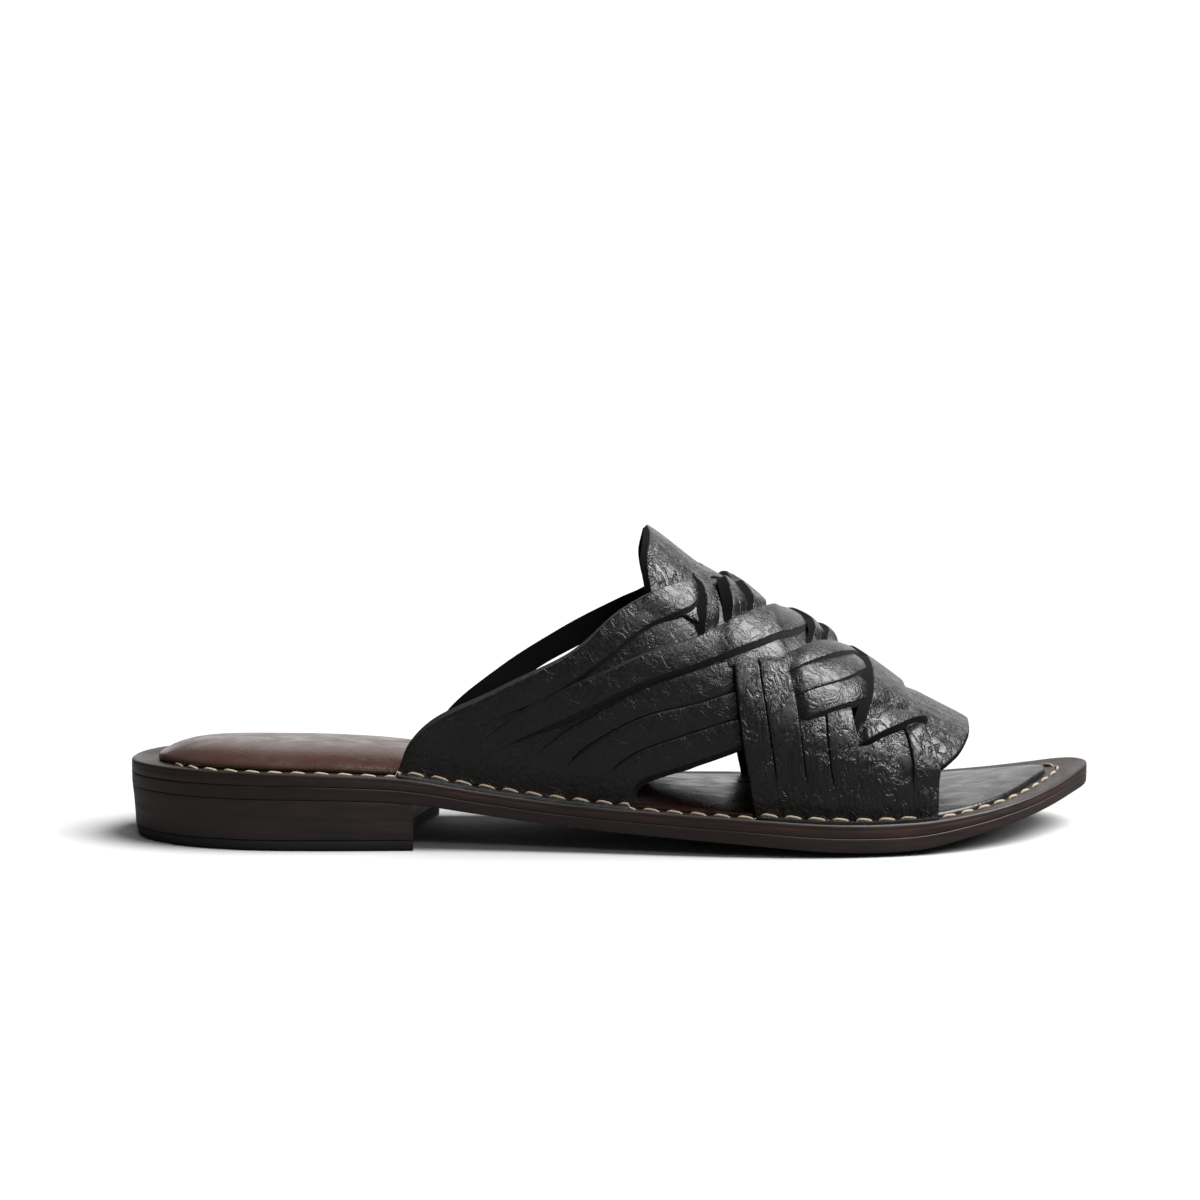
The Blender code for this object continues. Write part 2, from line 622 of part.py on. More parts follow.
def leather(name, colour, roughness):
    material = bpy.data.materials.new(name)
    material.use_nodes = True
    shader = material.node_tree.nodes["Principled BSDF"]
    shader.inputs["Base Color"].default_value = (*colour, 1)
    shader.inputs["Roughness"].default_value = roughness
    return material


COLOURS = {
    "upper": ((0.012, 0.011, 0.010), 0.38),
    "insole": ((0.055, 0.022, 0.014), 0.35),
    "midsole": ((0.030, 0.018, 0.012), 0.45),
    "outsole": ((0.040, 0.030, 0.024), 0.55),
    "heel_block": ((0.060, 0.042, 0.032), 0.55),
    "heel_lift": ((0.022, 0.020, 0.019), 0.70),
}

upper = build_upper()
pieces = [upper, *build_sole(), *build_heel()]
low = np.min([np.array([v.co for v in ob.data.vertices]).min(0) for ob in pieces], 0)
high = np.max([np.array([v.co for v in ob.data.vertices]).max(0) for ob in pieces], 0)
shift = -(low + high) / 2
for ob in pieces:
    for vertex in ob.data.vertices:
        vertex.co.x += shift[0]
        vertex.co.y += shift[1]
    ob.data.name = ob.name
    ob.data.materials.clear()
    ob.data.materials.append(leather(ob.name, *COLOURS[ob.name]))
    ob.data.shade_smooth()
    print(ob.name, len(ob.data.polygons))
print("shift", shift, "size", high - low)
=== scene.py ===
"""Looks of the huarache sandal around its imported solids: woven leather, footbed, stitched sole and heel.

Lengths are in metres. Shapes are worked out with the heel's back at x = 0, and new_mesh moves them by
SHIFT to their place in the frame. v and u run down the instep, from 0 on the ridge to -1 at the lateral
rim and +1 at the medial rim.
"""

import math
from dataclasses import dataclass, field

import bpy
import numpy as np
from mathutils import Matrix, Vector


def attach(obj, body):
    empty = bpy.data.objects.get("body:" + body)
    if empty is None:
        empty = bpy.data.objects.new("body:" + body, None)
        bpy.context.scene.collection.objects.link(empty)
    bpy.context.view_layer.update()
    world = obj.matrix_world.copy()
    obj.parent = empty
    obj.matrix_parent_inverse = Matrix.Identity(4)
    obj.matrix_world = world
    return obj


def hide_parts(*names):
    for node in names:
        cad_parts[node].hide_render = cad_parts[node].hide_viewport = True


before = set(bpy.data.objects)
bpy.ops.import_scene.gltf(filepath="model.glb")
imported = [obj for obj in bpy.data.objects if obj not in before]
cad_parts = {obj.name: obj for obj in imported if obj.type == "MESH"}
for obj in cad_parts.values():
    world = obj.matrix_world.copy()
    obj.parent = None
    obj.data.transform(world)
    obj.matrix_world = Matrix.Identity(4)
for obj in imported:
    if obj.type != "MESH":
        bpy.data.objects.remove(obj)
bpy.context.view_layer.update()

MM = 0.001
LENGTH = 0.294
WIDTH = 0.094
HEIGHT = 0.096
SHIFT = (-LENGTH / 2, 0.0001, 0.0)

LEATHER = 0.0020  # thickness of a strip
STEP = 0.0018  # rise of a strip over the one that it crosses
FLANGE = 0.0082  # from the sole's edge in to the foot of the wall
SEAT = 0.0012  # how deep the flanges lie in the rim
WALL_RUN = 0.060  # length of the wall from the ridge to the rim, for slopes
ROUND = 2.25  # exponent of the wall's rounded section
BEND = 0.028  # half of the turn between wall and flange, in v
MEDIAL_FORWARD = 0.020  # how far the medial rear rows lie ahead of the lateral ones, in shares of LENGTH

FOOTBED_INSET = 0.0082
BREAST = 0.298  # front of the heel, in shares of LENGTH
BREAST_SKEW = 0.004  # how far the medial end of the breast lies ahead
BREAST_HOLLOW = 0.0045
LIFT = 0.0030

# at, lateral edge, medial edge, rim height, thickness, how far the edge curls up
SOLE = (
    (0.0000, -0.0266, -0.0266, 0.2417, 0.0833, 0.0000),
    (0.0085, -0.1436, 0.0904, 0.2427, 0.0833, 0.0000),
    (0.0306, -0.2340, 0.1809, 0.2437, 0.0833, 0.0000),
    (0.0714, -0.3245, 0.2553, 0.2437, 0.0833, 0.0000),
    (0.1361, -0.3862, 0.3011, 0.2427, 0.0833, 0.0000),
    (0.2143, -0.3989, 0.3032, 0.2385, 0.0813, 0.0000),
    (0.2891, -0.3936, 0.2840, 0.2240, 0.0771, 0.0000),
    (0.3639, -0.3968, 0.2734, 0.1844, 0.0719, 0.0021),
    (0.4524, -0.4181, 0.2904, 0.1458, 0.0719, 0.0052),
    (0.5408, -0.4564, 0.3511, 0.1240, 0.0760, 0.0083),
    (0.6293, -0.4926, 0.4330, 0.1062, 0.0813, 0.0115),
    (0.7177, -0.5011, 0.4904, 0.0865, 0.0865, 0.0156),
    (0.7993, -0.4585, 0.4989, 0.0865, 0.0865, 0.0156),
    (0.8605, -0.3777, 0.4777, 0.1083, 0.0698, 0.0083),
    (0.9082, -0.2713, 0.4394, 0.1313, 0.0615, 0.0042),
    (0.9456, -0.1489, 0.3904, 0.1552, 0.0594, 0.0021),
    (0.9762, -0.0128, 0.3309, 0.1792, 0.0604, 0.0000),
    (0.9932, 0.0780, 0.2640, 0.1920, 0.0625, 0.0000),
    (1.0000, 0.1730, 0.1730, 0.1969, 0.0635, 0.0000),
)
# at, ridge y, ridge height, lateral bulge, medial bulge
LAST = (
    (0.2381, -0.0266, 1.2708, 0.0638, 0.0532),
    (0.3231, -0.0266, 1.2083, 0.0691, 0.0532),
    (0.4082, -0.0266, 1.1250, 0.0745, 0.0585),
    (0.4932, -0.0160, 1.0052, 0.0638, 0.0532),
    (0.5272, -0.0117, 0.9479, 0.0553, 0.0489),
    (0.5782, -0.0053, 0.8292, 0.0426, 0.0426),
    (0.6190, -0.0011, 0.7583, 0.0372, 0.0372),
    (0.6633, 0.0053, 0.6875, 0.0319, 0.0319),
    (0.7041, 0.0160, 0.6198, 0.0298, 0.0298),
    (0.7483, 0.0266, 0.5312, 0.0266, 0.0266),
    (0.7925, 0.0426, 0.4458, 0.0234, 0.0234),
    (0.8333, 0.0585, 0.3781, 0.0213, 0.0213),
    (0.8673, 0.0798, 0.3250, 0.0213, 0.0213),
    (0.8946, 0.0904, 0.2708, 0.0213, 0.0213),
)
# x of each strip edge on the lateral side, in shares of LENGTH, at these v
DOWN = (-1.0, -0.95, -0.9, -0.82, -0.7, -0.55, -0.4, -0.2, 0.0)
REAR_EDGE = {
    "1 top": (0.282, 0.296, 0.322, 0.382, 0.4535, 0.500, 0.541, 0.580, 0.597),
    "1 low": (0.323, 0.338, 0.360, 0.426, 0.4836, 0.531, 0.571, 0.593, 0.616),
    "3 top": (0.347, 0.355, 0.377, 0.423, 0.499, 0.562, 0.604, 0.643, 0.668),
    "3 low": (0.364, 0.373, 0.410, 0.468, 0.535, 0.597, 0.644, 0.682, 0.697),
    "5 top": (0.408, 0.414, 0.434, 0.479, 0.542, 0.604, 0.664, 0.702, 0.730),
    "5 low": (0.439, 0.448, 0.470, 0.517, 0.589, 0.649, 0.692, 0.727, 0.748),
    "6 low": (0.483, 0.491, 0.515, 0.567, 0.632, 0.687, 0.726, 0.751, 0.767),
    "7 low": (0.512, 0.526, 0.566, 0.618, 0.672, 0.722, 0.755, 0.776, 0.793),
}
FRONT_EDGE = {
    "1 top": (0.639, 0.635, 0.632, 0.627, 0.621, 0.615, 0.613, 0.607, 0.597),
    "1 low": (0.667, 0.663, 0.660, 0.656, 0.649, 0.641, 0.637, 0.632, 0.616),
    "2 low": (0.695, 0.692, 0.690, 0.686, 0.681, 0.673, 0.662, 0.654, 0.650),
    "3 top": (0.695, 0.692, 0.690, 0.686, 0.681, 0.680, 0.686, 0.695, 0.695),
    "3 low": (0.719, 0.717, 0.716, 0.712, 0.708, 0.706, 0.707, 0.710, 0.712),
    "4 low": (0.747, 0.745, 0.743, 0.741, 0.739, 0.733, 0.734, 0.735, 0.735),
    "5 top": (0.747, 0.745, 0.743, 0.741, 0.739, 0.749, 0.754, 0.757, 0.757),
    "5 low": (0.773, 0.7715, 0.7695, 0.7675, 0.765, 0.767, 0.771, 0.773, 0.774),
    "6 low": (0.798, 0.797, 0.795, 0.793, 0.790, 0.785, 0.788, 0.789, 0.791),
    "7 low": (0.821, 0.820, 0.820, 0.820, 0.818, 0.810, 0.801, 0.803, 0.806),
}
# the same on the medial side where it isn't the lateral line moved forward: the topmost strip runs further
# back there, with a slit below it
MEDIAL_EDGE = {
    "1 top": (0.300, 0.315, 0.337, 0.380, 0.442, 0.507, 0.553, 0.585, 0.597),
    "1 low": (0.341, 0.356, 0.376, 0.416, 0.480, 0.533, 0.577, 0.598, 0.616),
    "2 top": (0.341, 0.356, 0.378, 0.431, 0.496, 0.543, 0.580, 0.598, 0.616),
}


def smooth(x, xs, ys):
    """Cubic through a table's rows, with the slope at a row from its two neighbours."""
    x = np.clip(np.asarray(x, float), xs[0], xs[-1])
    xs = np.asarray(xs, float)
    ys = np.asarray(ys, float)
    chord = np.diff(ys) / np.diff(xs)
    slope = np.empty_like(ys)
    slope[1:-1] = (ys[2:] - ys[:-2]) / (xs[2:] - xs[:-2])
    slope[0] = chord[0]
    slope[-1] = chord[-1]
    k = np.clip(np.searchsorted(xs, x) - 1, 0, len(xs) - 2)
    h = xs[k + 1] - xs[k]
    t = (x - xs[k]) / h
    return (
        (2 * t**3 - 3 * t**2 + 1) * ys[k]
        + (t**3 - 2 * t**2 + t) * h * slope[k]
        + (3 * t**2 - 2 * t**3) * ys[k + 1]
        + (t**3 - t**2) * h * slope[k + 1]
    )


def ease(t):
    """Soft step from 0 to 1."""
    t = np.clip(t, 0, 1)
    return t * t * (3 - 2 * t)


def column(table, k):
    return [row[k] for row in table]


def run_of(points):
    """Length along a row of points, from 0 at the first."""
    return np.concatenate([[0], np.cumsum(np.linalg.norm(np.diff(points, axis=0), axis=1))])


def sole_at(x, k):
    """Column k of SOLE at x metres from the heel, in metres."""
    scale = WIDTH if k in (1, 2) else HEIGHT
    return smooth(np.asarray(x) / LENGTH, column(SOLE, 0), column(SOLE, k)) * scale


def curl(x, y):
    """How far the sole rises towards its edge at x, y."""
    lateral = sole_at(x, 1)
    medial = sole_at(x, 2)
    middle = (lateral + medial) / 2
    share = np.abs(y - middle) / np.maximum((medial - lateral) / 2, 1e-4)
    flat = 0.45
    return sole_at(x, 5) * np.clip((share - flat) / (1 - flat), 0, 1) ** 2


def rim(x, y):
    return sole_at(x, 3) + curl(x, y)


def under(x, y):
    """Bottom of the outsole."""
    return np.maximum(rim(x, y) - sole_at(x, 4), 0)


def wall_foot(x, side):
    """y of the wall's foot, side below 0 for the lateral one."""
    return np.where(side < 0, sole_at(x, 1) + FLANGE, sole_at(x, 2) - FLANGE)


def wall_point(x, v):
    """Point of the instep's surface."""
    at = column(LAST, 0)
    s = x / LENGTH
    ridge_y = smooth(s, at, column(LAST, 1)) * WIDTH
    ridge_z = smooth(s, at, column(LAST, 2)) * HEIGHT
    bulge = np.where(v < 0, smooth(s, at, column(LAST, 3)), smooth(s, at, column(LAST, 4))) * WIDTH
    base = wall_foot(x, v)
    base_z = rim(x, base)
    angle = (1 - np.minimum(np.abs(v), 1)) * math.pi / 2
    out = np.clip(np.cos(angle), 0, 1) ** (2 / ROUND)
    up = np.clip(np.sin(angle), 0, 1) ** (2 / ROUND)
    y = ridge_y + (base - ridge_y) * out + np.sign(v) * bulge * np.sin(2 * angle)
    z = base_z + (ridge_z - base_z) * up
    return np.stack([x + 0 * y, y, z], -1)


def rim_point(x, side, out):
    """Seat of the flange at a distance out from the wall's foot."""
    y = wall_foot(x, side) + side * out
    z = rim(x, y) - SEAT
    return np.stack([x + 0 * y, y, z], -1)


def skin(x, u):
    """Instep surface that turns outwards at the foot: beyond 1 the flange lies on the rim."""
    side = np.where(u < 0, -1.0, 1.0)
    a = np.abs(u)
    wall = wall_point(x, side * np.minimum(a, 1 - BEND))
    flange = rim_point(x, side, np.maximum(a - 1, BEND) * WALL_RUN)
    t = np.clip((a - (1 - BEND)) / (2 * BEND), 0, 1)[..., None]
    corner = rim_point(x, side, 0 * x)
    return wall * (1 - t) ** 2 + corner * 2 * t * (1 - t) + flange * t**2


def raised(x, u, height):
    """Point at a height above the skin."""
    du = 0.004
    dx = 0.0004
    along = skin(x + dx, u) - skin(x - dx, u)
    down = skin(x, u + du) - skin(x, u - du)
    normal = np.cross(along, down)
    normal /= np.maximum(np.linalg.norm(normal, axis=-1, keepdims=True), 1e-12)
    return skin(x, u) + normal * np.asarray(height)[..., None]


def outline(inset, count):
    """Lateral and medial halves of the sole's outline, moved in by inset, from heel to toe."""
    halves = []
    for k in (1, 2):
        halves.append([(r[0] * LENGTH, r[k] * WIDTH) for r in SOLE])
    loop = np.array(halves[0] + halves[1][-2:0:-1])
    n = len(loop)
    chords = np.linalg.norm(np.roll(loop, -1, 0) - loop, axis=1)
    knots = np.concatenate([[0], np.cumsum(chords**0.5)])
    ext = np.concatenate([loop[-2:], loop, loop[:3]])
    ext_knots = np.concatenate([knots[-3:-1] - knots[-1], knots[:-1], knots[-1] + knots[:3]])
    at = np.concatenate([np.linspace(knots[k], knots[k + 1], count + 1)[:-1] for k in range(n)])
    fine = at[:, None] + np.array([-1e-4, 0, 1e-4])
    xy = np.stack([smooth(fine, ext_knots, ext[:, 0]), smooth(fine, ext_knots, ext[:, 1])], -1)
    tangent = xy[:, 2] - xy[:, 0]
    tangent /= np.linalg.norm(tangent, axis=1, keepdims=True)
    points = xy[:, 1] + np.stack([-tangent[:, 1], tangent[:, 0]], -1) * inset
    half = len(points) // 2
    lateral = points[: half + 1]
    medial = np.concatenate([points[:1], points[half:][::-1]])
    return lateral, medial


def steep(curve, v):
    """Factor from a distance along x to one square to the edge."""
    dv = 0.01
    slope = (curve(v + dv) - curve(v - dv)) / (2 * dv) / WALL_RUN
    return 1 / np.sqrt(1 + slope**2)


FAR_BLEND = 0.5  # v over which an edge that comes over the ridge takes up its medial row


def edge(near_rows, far_rows, before, after):
    """Function from v to x, in metres, of a strip's edge on both sides of the ridge."""
    medial = MEDIAL_EDGE.get(after) if far_rows is REAR_EDGE else None
    forward = MEDIAL_FORWARD if far_rows is REAR_EDGE and medial is None else 0.0
    row = medial or far_rows[after]
    step = near_rows[before][-1] - row[-1]

    def at(v):
        v = np.asarray(v, float)
        near = smooth(np.minimum(v, 0), DOWN, near_rows[before])
        far = smooth(-np.maximum(v, 0), DOWN, row)
        share = np.clip(v / FAR_BLEND, 0, 1)
        far = far + step * np.clip(1 - v / FAR_BLEND, 0, 1) ** 2 + forward * np.sin(math.pi / 2 * share)
        return np.where(v <= 0, near, far) * LENGTH

    return at


def line(*rows):
    """Edge of a flap or arm from rows of v and x, mirrored over the ridge."""
    rows = sorted(rows)

    def at(v):
        return smooth(-np.abs(np.asarray(v, float)), column(rows, 0), column(rows, 1)) * LENGTH

    return at


PANEL = 0.35  # height of the uncut panels in shares of STEP
TONGUE = 0.62  # height of the rear tongue where its arm hasn't left it yet, in shares of STEP
ARM_LEAVES = 0.20  # v at which the rear arm leaves its tongue
APART = 0.10  # v over which a strip comes out of its panel or tongue
CLIMB = 0.0045  # how far ahead of a strip below it a strip starts to rise
PLUNGE = 0.0032  # how far ahead of a strip above it a strip starts to sink
FREE = 2.0  # in the place of a slit's v: the edge is free all along
NEVER = (FREE, FREE)


@dataclass(eq=False)
class Strip:
    """A band of leather between two edges, which are functions from v to x.

    Heights are in shares of STEP. A pair is for the top and the low edge, unless it says otherwise.
    """

    name: str
    top: object
    low: object
    ends: tuple  # v of its two ends
    slits: tuple  # for each edge the v to which it is cut free, on the lateral and on the medial side
    base: float = PANEL  # height where it crosses nothing
    sink: float = 0.0  # how far it lies below its level
    roll: tuple = (0.0, 0.0)  # how far its top edge rises over the low one, at the ridge and at the sides
    bevel: tuple = (0.0004, 0.0004)  # how far the flesh side reaches beyond the grain side, in metres
    lap: tuple = (0.0, 0.0)  # how far it laps under its neighbour, in metres
    skin: str = "plain"
    foot: float = None  # v at which it has come down to the rim
    group: int = 0
    outward: bool = False  # cut free from the ridge outwards instead of from the sole up
    trim: float = 0.0  # taken off the low edge on the medial side, in metres
    dive: float = 0.0  # how far it goes down at the ridge
    dive_from: float = 0.43  # v at which it starts to
    turn: float = 0.30  # v from which it lies as at the sides
    fold: float = 0.0  # height of small folds, in metres
    over: list = field(default_factory=list)
    under: list = field(default_factory=list)

    def inside(self, x, v):
        """Distance in metres inside the band, negative outside."""
        from_top = (x - self.top(v)) * steep(self.top, v)
        from_low = (self.low(v) - x) * steep(self.low, v)
        along = np.minimum(v - self.ends[0], self.ends[1] - v) * WALL_RUN
        return np.minimum(np.minimum(from_top, from_low), along)

    def level(self, x, v):
        """Height over the skin in shares of STEP: up over the bands below it, down under those above it."""
        up = np.zeros(np.shape(x))
        down = np.zeros(np.shape(x))
        for other in self.over:
            up = np.maximum(up, ease(1 + other.inside(x, v) / CLIMB))
        for other in self.under:
            down = np.maximum(down, ease(1 + other.inside(x, v) / PLUNGE))
        value = (self.base + (1 - self.base) * up) * (1 - down) - self.sink * (1 - 0.5 * down)
        away = np.abs(v)
        if self.outward:
            apart = ease((away - ARM_LEAVES) / APART)
            joined = TONGUE
        else:
            lateral, medial = (min(self.slits[0][side], self.slits[1][side]) for side in (0, 1))
            apart = ease((np.where(v < 0, lateral, medial) - away) / APART)
            joined = PANEL
        value = value * apart + joined * (1 - apart)
        value = value - self.dive * ease((self.dive_from - away) / 0.06)
        if self.foot:
            value = value * ease((self.foot - away) / 0.05)
        return value

    def opening(self, slit, v):
        """1 where an edge is cut free, 0 where it still hangs on its neighbour."""
        start = np.where(v < 0, slit[0], slit[1])
        if self.outward:
            cut = ease((np.abs(v) - start) / 0.05)
        else:
            cut = ease((start - np.abs(v)) / 0.04)
        return np.where(start >= FREE, 1.0, cut)


def cross(upper, lower):
    """Lay one strip over another."""
    upper.over.append(lower)
    lower.under.append(upper)


REAR_SLIT = {
    "1 top": FREE,
    "1 low": 0.885,
    "2 top": 0.885,
    "3 top": 0.945,
    "3 low": 0.952,
    "5 top": 0.944,
    "5 low": 0.944,
    "6 low": 0.944,
    "7 low": FREE,
}
FRONT_SLIT = {
    "1 top": FREE,
    "1 low": 0.905,
    "2 low": 0.90,
    "3 top": 0.90,
    "3 low": 0.90,
    "4 low": 0.865,
    "5 top": 0.865,
    "5 low": 0.865,
    "6 low": 0.86,
    "7 low": FREE,
}


def bands(kind, skin_name, near_edges, far_edges, near_slits, far_slits, rows):
    """Strips of one panel.

    A row has the top and low edge before the ridge, the same after it, the group, sink and roll, and then
    bevel and lap in millimetres.
    """
    made = []
    for top_near, low_near, top_far, low_far, group, sink, roll, bevel, lap in rows:
        made.append(
            Strip(
                f"{kind}_{len(made) + 1}",
                edge(near_edges, far_edges, top_near, top_far),
                edge(near_edges, far_edges, low_near, low_far),
                (-1.13, 1.13),
                ((near_slits[top_near], far_slits[top_far]), (near_slits[low_near], far_slits[low_far])),
                sink=sink,
                roll=roll,
                bevel=(bevel[0] * MM, bevel[1] * MM),
                lap=(lap[0] * MM, lap[1] * MM),
                skin=skin_name,
                foot=0.99,
                group=group,
            )
        )
    return made


REAR = bands(
    "rear",
    "plain",
    REAR_EDGE,
    FRONT_EDGE,
    REAR_SLIT,
    FRONT_SLIT,
    (
        ("1 top", "1 low", "1 top", "1 low", 0, -0.30, (0.0, -0.25), (0.4, 0.7), (0.0, 0.0)),
        ("1 low", "3 top", "1 low", "2 low", 0, 0.65, (0.0, 0.0), (0.4, 0.4), (1.8, 1.8)),
        ("3 top", "3 low", "3 top", "3 low", 1, -0.60, (0.0, 0.0), (0.4, 0.9), (0.0, 0.0)),
        ("3 low", "5 top", "3 low", "4 low", 1, 0.60, (0.0, 0.0), (0.4, 0.4), (1.8, 1.6)),
        ("5 top", "5 low", "5 top", "5 low", 2, 0.1, (-0.7, 0.30), (0.5, 0.8), (0.0, 0.0)),
        ("5 low", "6 low", "5 low", "6 low", 2, 0.0, (-0.7, 0.30), (0.5, 0.8), (0.0, 0.0)),
        ("6 low", "7 low", "6 low", "7 low", 2, -0.1, (-0.6, 0.30), (0.5, 0.9), (0.0, 0.0)),
    ),
)
FRONT = bands(
    "front",
    "pebbled",
    FRONT_EDGE,
    REAR_EDGE,
    FRONT_SLIT,
    REAR_SLIT,
    (
        ("1 top", "1 low", "1 top", "1 low", 0, -0.3, (1.3, 0.1), (1.7, 0.4), (0.0, 0.0)),
        ("1 low", "2 low", "2 top", "3 top", 0, -0.3, (1.3, 0.1), (1.7, 0.4), (0.0, 0.0)),
        ("3 top", "3 low", "3 top", "3 low", 1, -0.1, (1.1, 0.1), (1.3, 0.4), (0.0, 0.0)),
        ("3 low", "4 low", "3 low", "5 top", 1, -0.1, (1.1, 0.1), (1.1, 0.4), (0.0, 0.0)),
        ("5 top", "6 low", "5 top", "6 low", 2, 0.05, (0.5, 0.1), (2.8, 0.8), (0.8, 1.0)),
        ("6 low", "7 low", "6 low", "7 low", 2, -0.25, (0.1, 0.1), (0.4, 0.4), (0.0, 0.0)),
    ),
)
# a row for each group of rear strips, a column for each group of front strips, 1 where the rear ones are
# on top
REAR_OVER = ((0, 1, 0), (1, 0, 1), (0, 1, 0))
for strip in REAR:
    for other in FRONT:
        if REAR_OVER[strip.group][other.group]:
            cross(strip, other)
        else:
            cross(other, strip)

rear_arm_left = line(
    (0.0, 0.585), (-0.12, 0.578), (-0.218, 0.573), (-0.25, 0.580), (-0.30, 0.583), (-0.345, 0.585),
    (-0.40, 0.585), (-0.46, 0.585), (-0.56, 0.583),
)
rear_arm_right = line(
    (0.0, 0.616), (-0.06, 0.603), (-0.121, 0.593), (-0.215, 0.597), (-0.285, 0.600), (-0.388, 0.602),
    (-0.50, 0.602), (-0.56, 0.600),
)
rear_flap_edge = line((0.0, 0.5265), (-0.137, 0.529), (-0.302, 0.527), (-0.378, 0.529), (-0.45, 0.534))
front_arm_top = line(
    (-0.375, 0.7985), (-0.39, 0.790), (-0.41, 0.781), (-0.46, 0.767), (-0.521, 0.754), (-0.616, 0.735),
    (-0.72, 0.712),
)
front_arm_low = line(
    (-0.375, 0.8035), (-0.392, 0.8085), (-0.45, 0.7945), (-0.544, 0.7755), (-0.623, 0.757), (-0.698, 0.739),
    (-0.78, 0.716),
)
front_flap_back = line(
    (0.0, 0.780), (-0.20, 0.780), (-0.36, 0.783), (-0.42, 0.800), (-0.50, 0.800), (-0.60, 0.792),
    (-0.75, 0.795),
)
front_flap_edge = line(
    (0.0, 0.8655), (-0.166, 0.863), (-0.335, 0.857), (-0.544, 0.8445), (-0.675, 0.829), (-0.728, 0.819),
    (-0.76, 0.812),
)
arm_slit = (ARM_LEAVES, ARM_LEAVES)

flap_rear = Strip(
    "flap_rear",
    rear_flap_edge,
    rear_arm_left,
    (-0.44, 0.44),
    (NEVER, arm_slit),
    base=0.45,
    bevel=(0.0011, 0.0005),
    skin="pebbled",
    outward=True,
    fold=0.00010,
)
arm_rear = Strip(
    "arm_rear",
    rear_arm_left,
    rear_arm_right,
    (-0.555, 0.555),
    (arm_slit, NEVER),
    base=0.5,
    roll=(0.1, 0.9),
    bevel=(0.0022, 0.0005),
    skin="pebbled",
    outward=True,
)
flap_front = Strip(
    "flap_front",
    front_flap_back,
    front_flap_edge,
    (-0.735, 0.735),
    (NEVER, NEVER),
    base=0.5,
    sink=0.45,
    bevel=(0.0004, 0.0009),
    skin="folded",
    fold=0.00042,
)
arm_front, arm_front_far = (
    Strip(
        name,
        front_arm_top,
        front_arm_low,
        ends,
        (NEVER, NEVER),
        base=0.6,
        roll=(-0.6, -0.6),
        bevel=(0.0005, 0.0012),
        skin="pebbled",
    )
    for name, ends in (("arm_front", (-0.79, -0.376)), ("arm_front_far", (0.376, 0.79)))
)
cross(REAR[0], flap_rear)
cross(FRONT[0], flap_rear)
for strip in REAR[:2] + FRONT[:2]:
    cross(arm_rear, strip)
for arm in (arm_front, arm_front_far):
    for strip in (FRONT[4], FRONT[5], REAR[4], REAR[5], REAR[6], flap_front):
        cross(arm, strip)
for strip in (FRONT[4], FRONT[5], REAR[6]):
    cross(strip, flap_front)
# the arms' tips end below these strips, which don't rise for them
arm_rear.under += [REAR[2], FRONT[2]]
for arm in (arm_front, arm_front_far):
    arm.under += [FRONT[2], FRONT[3], REAR[2], REAR[3]]
# the foremost bands go under the front tongue's root on the ridge
FRONT[5].dive = REAR[6].dive = 1.3
REAR[6].dive_from = 0.33
FRONT[4].turn = 0.48
FRONT[0].trim = 0.0009


def tube(rings, count, first=0, inward=False):
    """Quads between closed rings of count points each."""
    faces = []
    for a in range(rings - 1):
        here = first + a * count
        for k in range(count):
            j = (k + 1) % count
            if inward:
                faces.append((here + k, here + count + k, here + count + j, here + j))
            else:
                faces.append((here + k, here + j, here + count + j, here + count + k))
    return faces


def new_mesh(name, points, faces, materials, indices=None, uvs=None):
    mesh = bpy.data.meshes.new(name)
    mesh.from_pydata([tuple(p) for p in np.asarray(points) + SHIFT], [], faces)
    for material in materials:
        mesh.materials.append(material)
    if indices is not None:
        mesh.polygons.foreach_set("material_index", indices)
    if uvs is not None:
        layer = mesh.uv_layers.new(name="UVMap")
        loops = np.empty(len(mesh.loops), int)
        mesh.loops.foreach_get("vertex_index", loops)
        layer.data.foreach_set("uv", np.asarray(uvs)[loops].ravel())
    mesh.shade_smooth()
    ob = bpy.data.objects.new(name, mesh)
    bpy.context.collection.objects.link(ob)
    return ob


def own(ob, node=None):
    """Fix a piece to the body, and let it stand for a node of the frame."""
    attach(ob, "root")
    if node:
        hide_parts(node)


def wave(seed, s, scale):
    """Slow random wave along a length."""
    rng = np.random.default_rng(seed)
    total = np.zeros(np.shape(s))
    for k in range(4):
        total += rng.uniform(0.4, 1) / (k + 1) * np.sin(s / scale * (k + 1) + rng.uniform(0, 6.28))
    return total / 2


ROWS_PER_MM = 0.9  # cross sections along a strip
KNEES = (-0.95, 0.0, 0.95)  # v at which a strip has a cross section
SLIT_GAP = 0.00012  # half of a slit's width
DOME = 0.00022  # height of a strip's crown
PLAIN_BEVEL = 0.0004  # of a front strip's top edge at the sides
# distance from the edge, drop of the rounded shoulder there
SHOULDER = ((0.0, 0.00026), (0.00008, 0.00012), (0.00020, 0.000035), (0.00042, 0.0))


def sections(strip):
    """v of the cross sections on the top edge and on the low edge, even along each edge."""
    first, last = strip.ends
    stops = [first, *(v for v in KNEES if first < v < last), last]
    top = []
    low = []
    for a, b in zip(stops, stops[1:]):
        v = np.linspace(a, b, 400)
        top_run = run_of(raised(strip.top(v), v, 0 * v))
        low_run = run_of(raised(strip.low(v), v, 0 * v))
        count = max(4, int(max(top_run[-1], low_run[-1]) * 1000 * ROWS_PER_MM))
        t = np.linspace(0, 1, count + 1)
        if top:
            t = t[1:]
        top.append(np.interp(t * top_run[-1], top_run, v))
        low.append(np.interp(t * low_run[-1], low_run, v))
    return np.concatenate(top), np.concatenate(low)


